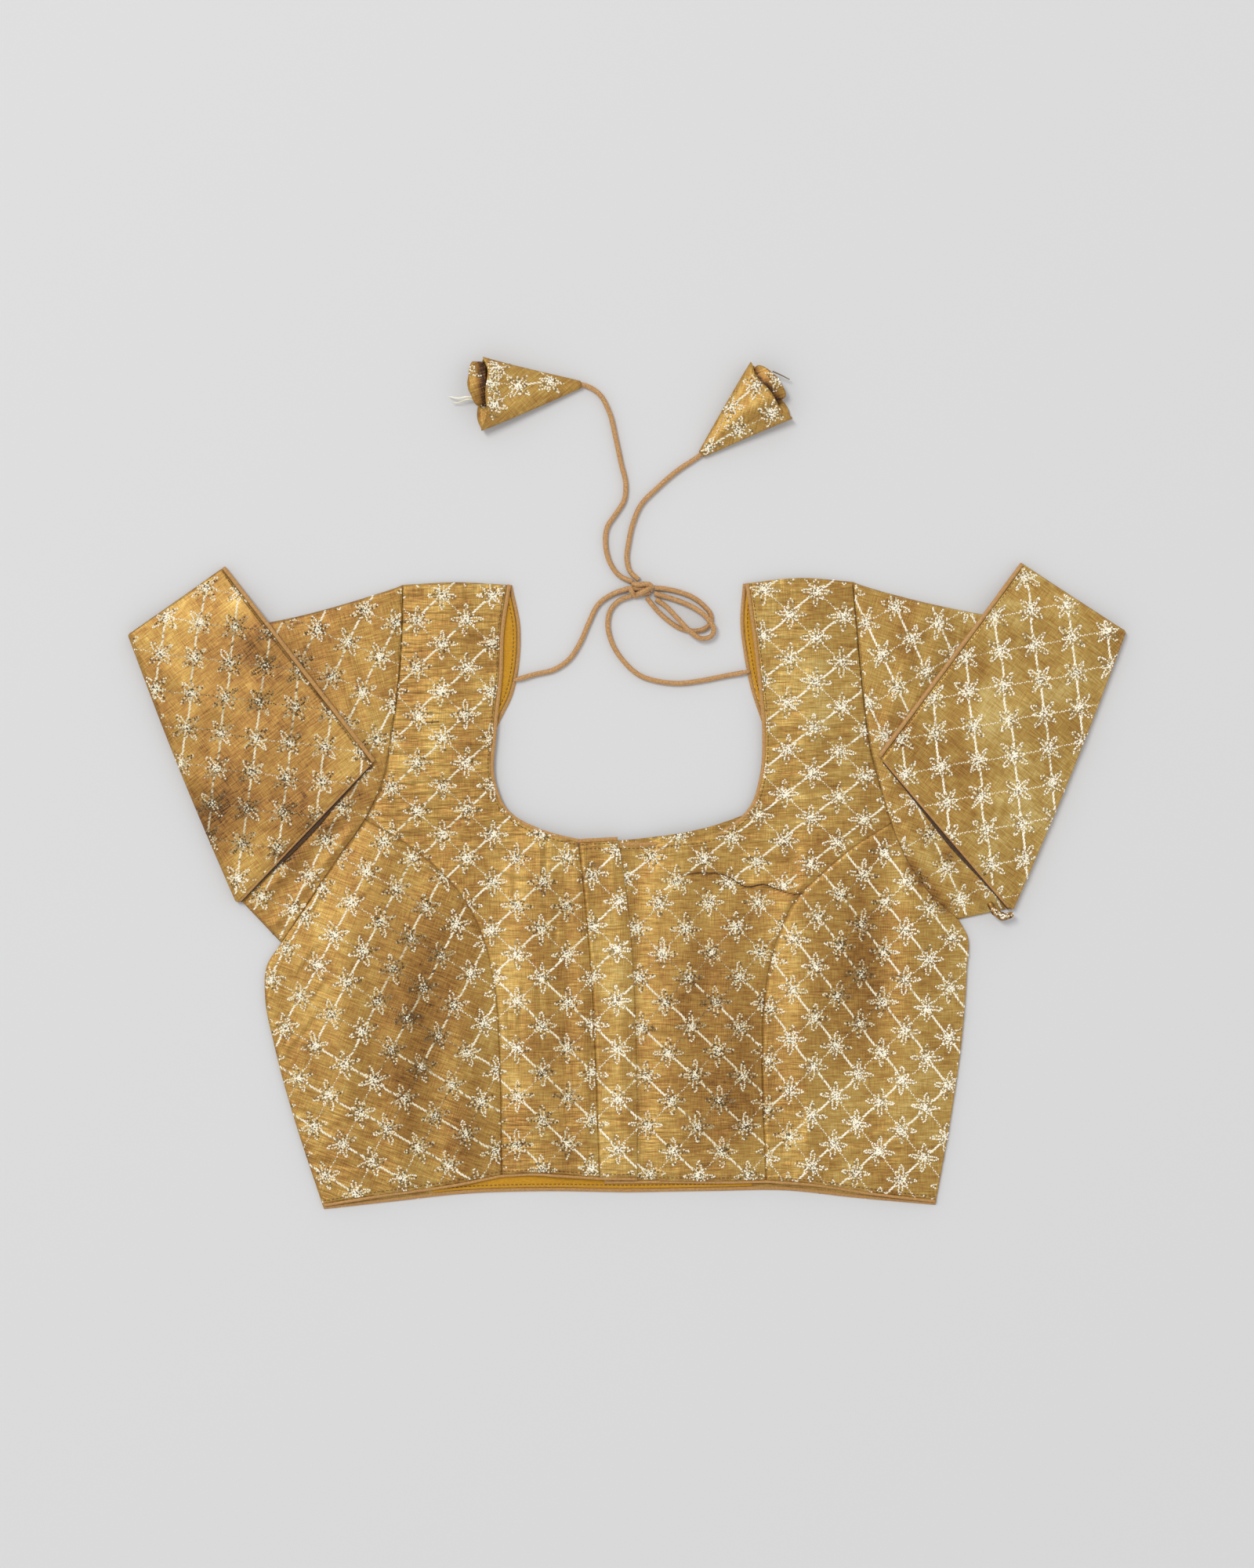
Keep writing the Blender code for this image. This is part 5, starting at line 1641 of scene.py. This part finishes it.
def star_beads(rng, centre, first, second, spacing=1.2):
    """The beads of thread of one star. Each: x, y, direction x, y, half length, half width, tone, shaded."""
    beads = []
    p, q = first / np.linalg.norm(first), second / np.linalg.norm(second)
    glow = rng.normal(0, 0.05)
    size = rng.uniform(0.94, 1.04)
    for a, b, reach, apart, shaded in STAR_PETALS:
        along = a * p + b * q
        along = turned(along / np.linalg.norm(along), rng.normal(0, 0.06))
        across = turned(along, math.pi / 2)
        reach = size * reach * rng.uniform(0.88, 1.05)
        apart = apart * rng.uniform(0.85, 1.15)
        petal_tone = 0.93 + glow + rng.normal(0, 0.05)
        for row in (-1, 1):
            far = 1.3 + rng.uniform(-0.2, 0.4)
            while far < reach - 0.4:
                part = far / reach
                off = row * apart * (0.3 + 0.62 * math.sin(math.pi * part**1.4) ** 0.8)
                place = centre + along * (far + rng.normal(0, 0.15)) + across * (off + rng.normal(0, 0.2))
                lean = row * (0.8 - 1.3 * part) + rng.normal(0, 0.45)
                # Some beads are dark: painted shadow between the loops of thread, partly dark thread.
                if rng.random() > 0.24:
                    tone = petal_tone - abs(rng.normal(0, 0.18))
                else:
                    tone = rng.uniform(0.0, 0.3)
                half_width = rng.uniform(0.6, 0.88)
                beads.append(bead(place, turned(along, lean), 0.56 * spacing, half_width, tone, shaded))
                # Dark specks beside the row: painted shadow at the petal's edge, partly dark thread.
                if rng.random() < 0.3:
                    beside = place + across * row * 0.95
                    beads.append(bead(beside, turned(along, lean), 0.5, 0.26, 0.04, 0.0))
                far += spacing * rng.uniform(0.9, 1.12)
        place = centre + along * reach
        beads.append(bead(place, turned(across, rng.normal(0, 0.4)), 0.75, 0.6, petal_tone, shaded))
        if reach > 7:
            place = centre + along * 0.72 * reach
            beads.append(bead(place, along, 0.7, 0.42, rng.choice((0.05, 0.1, 0.6)), 0.0))
    for angle in np.arange(0.0, 12.5, 0.9) + rng.uniform(0, 1):
        place = centre + turned(np.array([0.8 if angle < 6.3 else 2.1, 0.0]), angle)
        # Some centre beads are dark: painted shadow between the loops, partly dark thread.
        tone = 1.0 if rng.random() > 0.28 else 0.1
        lean = turned(np.array([1.0, 0.0]), angle + rng.uniform(0.6, 1.4))
        beads.append(bead(place, lean, 0.9, 0.62, tone, 0.3))
    return beads


def link_beads(rng, start, end, rope, spacing=1.0):
    """The beads of thread between two stars, a twisted rope or a thin broken line."""
    run = end - start
    length = np.linalg.norm(run)
    along = run / length
    across = turned(along, math.pi / 2)
    bow = rng.normal(0, 0.5)
    beads = []
    far, last = 5.6, length - 5.4
    side = 1.0
    strength = rng.uniform(0.85, 1.0)
    while far < last:
        drift = bow * math.sin(math.pi * far / length)
        if rope:
            place = start + along * far + across * (drift + 0.14 * side)
            tone = strength - abs(rng.normal(0, 0.16)) if rng.random() > 0.12 else 0.3
            beads.append(bead(place, turned(along, -0.65), 1.15, 0.62, tone, 0.6))
            far += 1.12 * spacing
        else:
            place = start + along * far + across * (drift + 0.2 * side)
            tone = rng.uniform(0.3, 0.95)
            beads.append(bead(place, turned(along, 0.3 * side), 0.7 * spacing, 0.46, tone, 1.0))
            far += 1.35 * spacing * rng.uniform(0.9, 1.15)
        side = -side
    return beads


def surface_finder(tree, sign):
    """A function that gives the height of a surface at a plan point, met from above or from below."""
    toward = Vector((0.0, 0.0, -1.0 if sign > 0 else 1.0))

    def find(x, y):
        hit = tree.ray_cast(Vector((x, y, 60.0 * sign)), toward)
        return None if hit[0] is None else hit[0].z

    return find


def threads(name, strands, find, material):
    """One mesh of thin three-sided tubes that lie on a surface and stop where it ends."""
    points, faces, tones = [], [], []
    for path, radius, brightness in strands:
        heights = [find(x, y) for x, y in path]
        if any(h is None for h in heights):
            continue
        centre = np.array([(*place, height + radius * 0.45) for place, height in zip(path, heights)])
        along = np.gradient(centre, axis=0)
        across = np.stack([along[:, 1], -along[:, 0]], axis=1)
        across /= np.linalg.norm(across, axis=1)[:, None] + 1e-9
        start = len(points)
        for k, side in enumerate(across):
            for turn in (90, 210, 330):
                c, s = math.cos(math.radians(turn)), math.sin(math.radians(turn))
                points.append(centre[k] + radius * np.array([side[0] * c, side[1] * c, s]))
                tones.append(brightness)
        for k in range(len(path) - 1):
            for j in range(3):
                a, b = start + 3 * k + j, start + 3 * k + (j + 1) % 3
                faces.append((a, b, b + 3, a + 3))
        last = start + 3 * (len(path) - 1)
        faces.append((start + 2, start + 1, start))
        faces.append((last, last + 1, last + 2))
    made = mesh_object(name, points, faces, material)
    set_value(made, tones)
    return stand_for(made)


def lay_beads(name, beads, find, sign, covered=None):
    """One mesh of small faceted beads that lie on a surface, or under it, and stop where it ends."""
    kept, heights = [], []
    for row in beads:
        x, y, dx, dy, half = row[:5]
        first, last = find(x - dx * half, y - dy * half), find(x + dx * half, y + dy * half)
        if first is None or last is None or abs(first - last) > 0.7:
            continue
        if covered is not None and covered((x, y), (first + last) / 2):
            continue
        kept.append(row)
        heights.append((first, last))
    if not kept:
        return None
    rows, heights = np.array(kept), np.array(heights)
    place, along, half = rows[:, :2], rows[:, 2:4], rows[:, 4:5]
    wide = rows[:, 5:6] * np.stack([-along[:, 1], along[:, 0]], axis=1)
    middle = heights.mean(axis=1)
    rise = 0.2 + 0.45 * rows[:, 5] if sign > 0 else np.full(len(rows), UNDER_THREAD * 0.85)
    corners = (
        (place - along * half, heights[:, 0]),
        (place + wide, middle),
        (place + along * half, heights[:, 1]),
        (place - wide, middle),
        (place + 0.1 * along, middle + sign * rise),
    )
    points = np.stack([np.column_stack([plan, z]) for plan, z in corners], axis=1).reshape(-1, 3)
    pattern = [(1, 0, 4), (2, 1, 4), (3, 2, 4), (0, 3, 4), (0, 1, 2), (0, 2, 3)]
    if sign < 0:
        pattern = [face[::-1] for face in pattern]
    faces = (np.array(pattern)[None] + 5 * np.arange(len(rows))[:, None, None]).reshape(-1, 3)
    made = mesh_object(name, points, faces.tolist(), THREAD, smooth=False)
    # Each bead's tone, darkened by the painted shade around it.
    tone = rows[:, 6] + rows[:, 7] * thread_shade(rows[:, 0], rows[:, 1])
    set_value(made, np.repeat(tone, 5))
    return stand_for(made)


def rope_first(region, y):
    """Whether the ropes of stitches run along the lattice's first step, its second, or neither."""
    for name, low, which in ROPES:
        if name == region and y > low:
            return which
    return None


def lattice_beads(seed, region, corners, sign):
    """Every star and link of one lattice between two plan corners."""
    rng = np.random.default_rng(seed)
    row = next(row for row in LATTICES if row[0] == region)
    origin, first, second = (np.array(row[k : k + 2], float) for k in (1, 3, 5))
    low, high = np.array(corners[0]) - 12, np.array(corners[1]) + 12
    star_spacing, link_spacing = (1.2, 1.0) if sign > 0 else (2.1, 1.6)
    beads = []
    for i in range(-30, 31):
        for j in range(-30, 31):
            centre = origin + i * first + j * second
            jitter = rng.normal(0, 0.35, 2)
            if np.any(centre < low) or np.any(centre > high):
                continue
            centre = centre + jitter
            which = rope_first(region, centre[1])
            beads += star_beads(rng, centre, first, second, star_spacing)
            beads += link_beads(rng, centre, centre + first, which == "first", link_spacing)
            beads += link_beads(rng, centre, centre + second, which == "second", link_spacing)
    return beads


def dashes(path, inward, offset, dash=1.5, gap=1.1):
    """A running stitch beside a path."""
    normals = plan_normals(path) * inward
    line = path + normals * offset
    fine, run = fine_curve(line[:: max(1, len(line) // 60)])
    strands = []
    for begin in np.arange(0.5, run[-1] - dash, dash + gap):
        s = np.linspace(begin, begin + dash, 3)
        points = np.stack([np.interp(s, run, fine[:, k]) for k in (0, 1)], axis=1)
        strands.append((points, 0.3, 0.25))
    return strands


def mesh_tree(made, keep=None):
    """A search tree over a piece's mesh, in mm."""
    mesh = made.data
    points = [v.co / METRES_PER_MM for v in mesh.vertices]
    faces = [tuple(p.vertices) for p in mesh.polygons if keep is None or keep(p)]
    return BVHTree.FromPolygons(points, faces)


def corners_of(made):
    box_points = np.array([v.co for v in made.data.vertices])[:, :2] / METRES_PER_MM
    return box_points.min(axis=0), box_points.max(axis=0)


def thread_shade(x, y):
    """Painted light and shade: threads darken to bronze over the darker patches and lighten a little over
    the brighter ones.
    """
    total = np.zeros_like(x)
    for px, py, width, height, tone in PAINTED_LIGHT_AND_TONES:
        total += tone * np.exp(-(((x - px) / width) ** 2) - ((y - py) / height) ** 2)
    return 0.85 * np.clip(total, -0.7, 0.2)


def embroider(pieces):
    """Stars and links on every panel, above and below."""
    trees = {name: mesh_tree(piece) for name, piece in pieces.items() if not name.endswith("_rings")}

    def add(name, region, tree, sign, piece, seed, covered=None, keep=None):
        beads = lattice_beads(seed, region, corners_of(piece), sign)
        if keep is not None:
            beads = [row for row in beads if keep(row)]
        lay_beads(name, beads, surface_finder(tree, sign), sign, covered)

    for seed, name in enumerate(("front_centre_right", "placket", "front_side_right", "front_side_left")):
        add(f"stars_{name}", name, trees[name], 1, pieces[name], seed + 1)
    left_name = "front_centre_left"
    for seed, part, sense in ((6, "upper", 1), (5, "lower", -1)):
        add(
            f"stars_{left_name}_{part}",
            f"{left_name}_{part}",
            trees[left_name],
            1,
            pieces[left_name],
            seed,
            keep=lambda row, sense=sense: (row[1] + 2.8) * sense > 0,
        )
    for word, seed in (("right", 8), ("left", 10)):
        sleeve, rings = pieces[f"sleeve_{word}_rings"]
        piece = pieces[f"sleeve_{word}"]
        count = rings.shape[1]
        cap = mesh_tree(piece, lambda p: max(p.vertices) < 41 * count)
        flap = mesh_tree(piece, lambda p: 44 * count < min(p.vertices) and max(p.vertices) < 96 * count)
        flap_find = surface_finder(flap, 1)

        def below_flap(point, height):
            top = flap_find(*point)
            return top is not None and top > height + 1.0

        add(f"stars_cap_{word}", f"sleeve_cap_{word}", cap, 1, piece, seed, below_flap)
        add(f"stars_flap_{word}", f"flap_{word}", flap, 1, piece, seed + 1)
        add(f"stars_cap_{word}_under", f"sleeve_cap_{word}", cap, -1, piece, seed + 20)
    add("stars_back_under", "placket", trees["back"], -1, pieces["back"], 30)


# Stars on the tassels, in the order that their stitches join them
# Columns: tassel, x, y, the next star's x and y, and whether a rope of stitches joins them
TASSEL_STARS = (
    ("tassel_right", -66.3, 305.1, -47.3, 308.2, True),
    ("tassel_right", -47.3, 308.2, -33.0, 306.0, False),
    ("tassel_right", -83.5, 306.3, -66.3, 305.1, False),
    ("tassel_right", -81.0, 293.5, -66.3, 305.1, False),
    ("tassel_right", -79.6, 317.0, -66.3, 305.1, False),
    ("tassel_left", 67.8, 278.5, 50.2, 268.1, True),
    ("tassel_left", 87.9, 288.2, 67.8, 278.5, False),
    ("tassel_left", 79.1, 305.5, 87.9, 288.2, False),
    ("tassel_left", 62.8, 292.6, 79.1, 305.5, True),
    ("tassel_left", 50.2, 268.1, 62.8, 292.6, False),
)
# Loose ends of thread at the tassels' mouths. Columns: name, material's shade, points of x, y, z
LOOSE_ENDS = (
    (
        "thread_end_right_1",
        0.8,
        ((-90.0, 298.6, 5.0), (-98.0, 299.0, 5.2), (-104.0, 298.2, 4.0), (-109.4, 299.6, 2.6)),
    ),
    (
        "thread_end_right_2",
        0.6,
        ((-91.0, 297.2, 4.6), (-98.0, 297.4, 4.6), (-103.0, 295.8, 3.4), (-106.6, 295.4, 2.4)),
    ),
    (
        "thread_end_left",
        0.15,
        ((89.0, 314.4, 6.0), (93.0, 312.6, 6.4), (96.5, 311.0, 5.6), (99.4, 309.6, 4.6)),
    ),
)


def embroider_tassels(tassels, inner_cloths):
    rng = np.random.default_rng(50)
    for name, x, y in (("tassel_right", -98.6, 314.6), ("tassel_left", 92.6, 309.5)):
        beads = star_beads(rng, np.array([x, y]), np.array([1.0, 0.4]), np.array([-0.4, 1.0]))
        made = f"stars_{name}_inner_{round(x)}".replace("-", "")
        lay_beads(made, beads, surface_finder(mesh_tree(inner_cloths[name]), 1), 1)
    for name, piece in tassels.items():
        beads = []
        for which, x, y, next_x, next_y, rope in TASSEL_STARS:
            if which != name:
                continue
            centre, after = np.array([x, y]), np.array([next_x, next_y])
            step = (after - centre) / np.linalg.norm(after - centre)
            beads += star_beads(rng, centre, step, np.array([-step[1], step[0]]))
            beads += link_beads(rng, centre, after, rope)
        lay_beads(f"stars_{name}", beads, surface_finder(mesh_tree(piece), 1), 1)


def build_thread_ends():
    for name, tone, route in LOOSE_ENDS:
        path = even(np.array(route), 14)
        made = rings_mesh(name, tube_points(path, np.linspace(0.5, 0.34, 14), 6), THREAD)
        set_value(made, np.full(len(made.data.vertices), tone))
        stand_for(made)


def build_tack(pieces):
    """The small dark tacking stitch on the right strap."""
    find = surface_finder(mesh_tree(pieces["front_centre_right"]), 1)
    main = np.array([(-123.4, 100.0), (-121.6, 99.8), (-119.4, 99.9), (-117.0, 100.1), (-115.2, 100.2)])
    cross = np.array([(-119.6, 98.9), (-119.5, 99.9), (-119.2, 101.4)])
    threads("tacking_stitch", [(main, 0.5, 0.0), (cross, 0.35, 0.0)], find, DARK_STITCH)


GAPE_AT = {"right": 0.5, "left": 0.45}


def build_flap_seams(pieces):
    """The narrow turned edge along each flap's underarm seam, and a near-black tube below it, painted shadow
    in the gap.
    """
    for word in ("right", "left"):
        sleeve, rings = pieces[f"sleeve_{word}_rings"]
        low = np.array([ring[0] for ring in rings[50:95]])
        high = np.array([ring[6] for ring in rings[50:95]])
        inward = (high - low)[:, :2]
        inward /= np.linalg.norm(inward, axis=1)[:, None]
        path = low.copy()
        path[:, :2] += inward * 0.7
        path[:, 2] += 0.25
        path = even(path, 90)
        path[:, 2] += 0.12 * noise(np.arange(90) / 5.0, np.zeros(90), 61)
        roll = rings_mesh(f"flap_edge_{word}", tube_points(path, 0.95, 10), PIPING_CLOTH)
        stand_for(roll)
        # Painted shadow: a dark tube, widest where the flap gapes most.
        gape = np.exp(-(((np.linspace(0, 1, 90) - GAPE_AT[word]) / 0.24) ** 2))
        under = even(low, 90)
        across = even(np.column_stack([inward, inward[:, 0]]), 90)[:, :2]
        under[:, :2] -= across * (0.3 + 0.9 * gape)[:, None]
        under[:, 2] = 4.9
        rings = tube_points(under, 0.5 + 1.3 * gape, 10)
        rings[:, :, 2] = 4.9 + 0.25 * (rings[:, :, 2] - 4.9)
        stand_for(rings_mesh(f"flap_shade_{word}", rings, SHADED_CLOTH))


# The middle line of the rolled end of the left flap's seam. Columns: x, y, z
CORNER_ROLL = ((221.5, -10.5, 6.4), (225.0, -15.8, 6.6), (230.4, -19.2, 6.8), (236.0, -17.4, 7.2))


def build_corner_roll():
    """The end of the left flap's seam, rolled up at its lower corner."""
    path = even(np.array(CORNER_ROLL), 26)
    radius = 2.5 * np.sin(math.pi * np.linspace(0.1, 0.9, 26)) ** 0.5
    radius = radius * (1 + 0.1 * np.sin(np.arange(26) * 0.9))
    made = rings_mesh("flap_corner_roll", tube_points(path, radius, 14), TISSUE)
    plan = np.array([v.co for v in made.data.vertices])[:, :2] / METRES_PER_MM
    set_grain(made, plan, -60.0)
    set_value(made, -0.7 + 0.7 * np.sin(plan[:, 0] * 1.9 + plan[:, 1]))
    stand_for(made)
    rng = np.random.default_rng(71)
    beads = link_beads(rng, np.array([218.0, -7.0]), np.array([240.0, -20.0]), True)
    beads += star_beads(rng, np.array([229.6, -18.6]), np.array([1.0, 0.2]), np.array([-0.2, 1.0]))
    lay_beads("stars_flap_corner_roll", beads, surface_finder(mesh_tree(made), 1), 1)


def top_finder(trees):
    """The height of the highest of several surfaces at a plan point."""
    finders = [surface_finder(tree, 1) for tree in trees]

    def find(x, y):
        found = [h for h in (finder(x, y) for finder in finders) if h is not None]
        return max(found) if found else None

    return find


def build_seam_threads(find):
    """The thread that shows in the armhole and princess seams, and a dark thread of painted shadow along the
    tuck.
    """
    strands = []
    for side in (right, left):
        for rows in (armhole_rows(side), side(PRINCESS_SEAM)):
            path = smooth_curve(rows, np.linspace(0.01, 0.99, 130))
            for k in range(0, 128, 2):
                strands.append((path[k : k + 3], 0.14, 0.3))

    def beside(x, y):
        found = [find(x + dx, y + dy) for dx, dy in ((-0.5, 0), (0.5, 0), (0, 0.5), (0, -0.5))]
        found = [height for height in found if height]
        return min(found) - 0.15 if found else None

    threads("seam_threads", strands, beside, CORD_CLOTH)
    # Painted shadow along the tuck's fold.
    tuck = smooth_curve(TUCK, np.linspace(0.06, 0.95, 81))
    shadow = []
    for k in range(0, 79, 2):
        shadow.append((tuck[k : k + 3], 0.12 + 0.34 * math.sin(math.pi * (k + 1) / 80), 0.0))
    threads("tuck_shadow", shadow, find, SHADED_CLOTH)


def build_stitches(pieces):
    paths = {row[0]: row for row in bound_paths()}
    names = [f"front_{part}_{word}" for part in ("centre", "side") for word in ("right", "left")]
    fronts = [mesh_tree(pieces[name]) for name in (*names, "placket")]
    find = top_finder(fronts)
    strands = []
    for name in ("neck_binding_right", "hem_binding_right", "neck_binding_left", "hem_binding_left"):
        _, path, cloth_side, _, _ = paths[name]
        strands += dashes(path, cloth_side, PIPING + 1.2)
    threads("edge_stitches", strands, find, DARK_STITCH)
    build_seam_threads(find)
    for word in ("right", "left"):
        sleeve, _ = pieces[f"sleeve_{word}_rings"]
        line = sleeve.cuff(np.linspace(0.02, 0.98, 60), PIPING + 1.4)
        flap_tree = mesh_tree(pieces[f"sleeve_{word}"])
        threads(f"cuff_stitches_{word}", dashes(line, 1, 0.0), surface_finder(flap_tree, 1), DARK_STITCH)
    for name, path_name, span in (
        ("lining_strip_right", "back_neck_binding", (0.0, 0.2)),
        ("lining_strip_left", "back_neck_binding", (0.8, 1.0)),
        ("lining_strip_hem", "back_hem_binding", (0.1, 0.9)),
    ):
        _, path, cloth_side, _, _ = paths[path_name]
        count = len(path)
        part = path[int(span[0] * count) : int(span[1] * count)]
        find = surface_finder(mesh_tree(pieces[name]), 1)
        threads(f"{name}_stitches", dashes(part, cloth_side, BOUND + 1.6), find, DARK_STITCH)


add_stage()
cords = build_cords()
knot = build_knot()
tassels, inner_cloths = build_tassels()
pieces = build_front()
pieces["back"] = build_back()
pieces.update(build_sleeves())
for name, path, cloth_side, base, node_name in bound_paths():
    pieces[name] = bound_edge(name, path, cloth_side, base, node_name)
pieces.update(build_linings())
embroider(pieces)
embroider_tassels(tassels, inner_cloths)
build_thread_ends()
build_tack(pieces)
build_flap_seams(pieces)
build_corner_roll()
build_stitches(pieces)
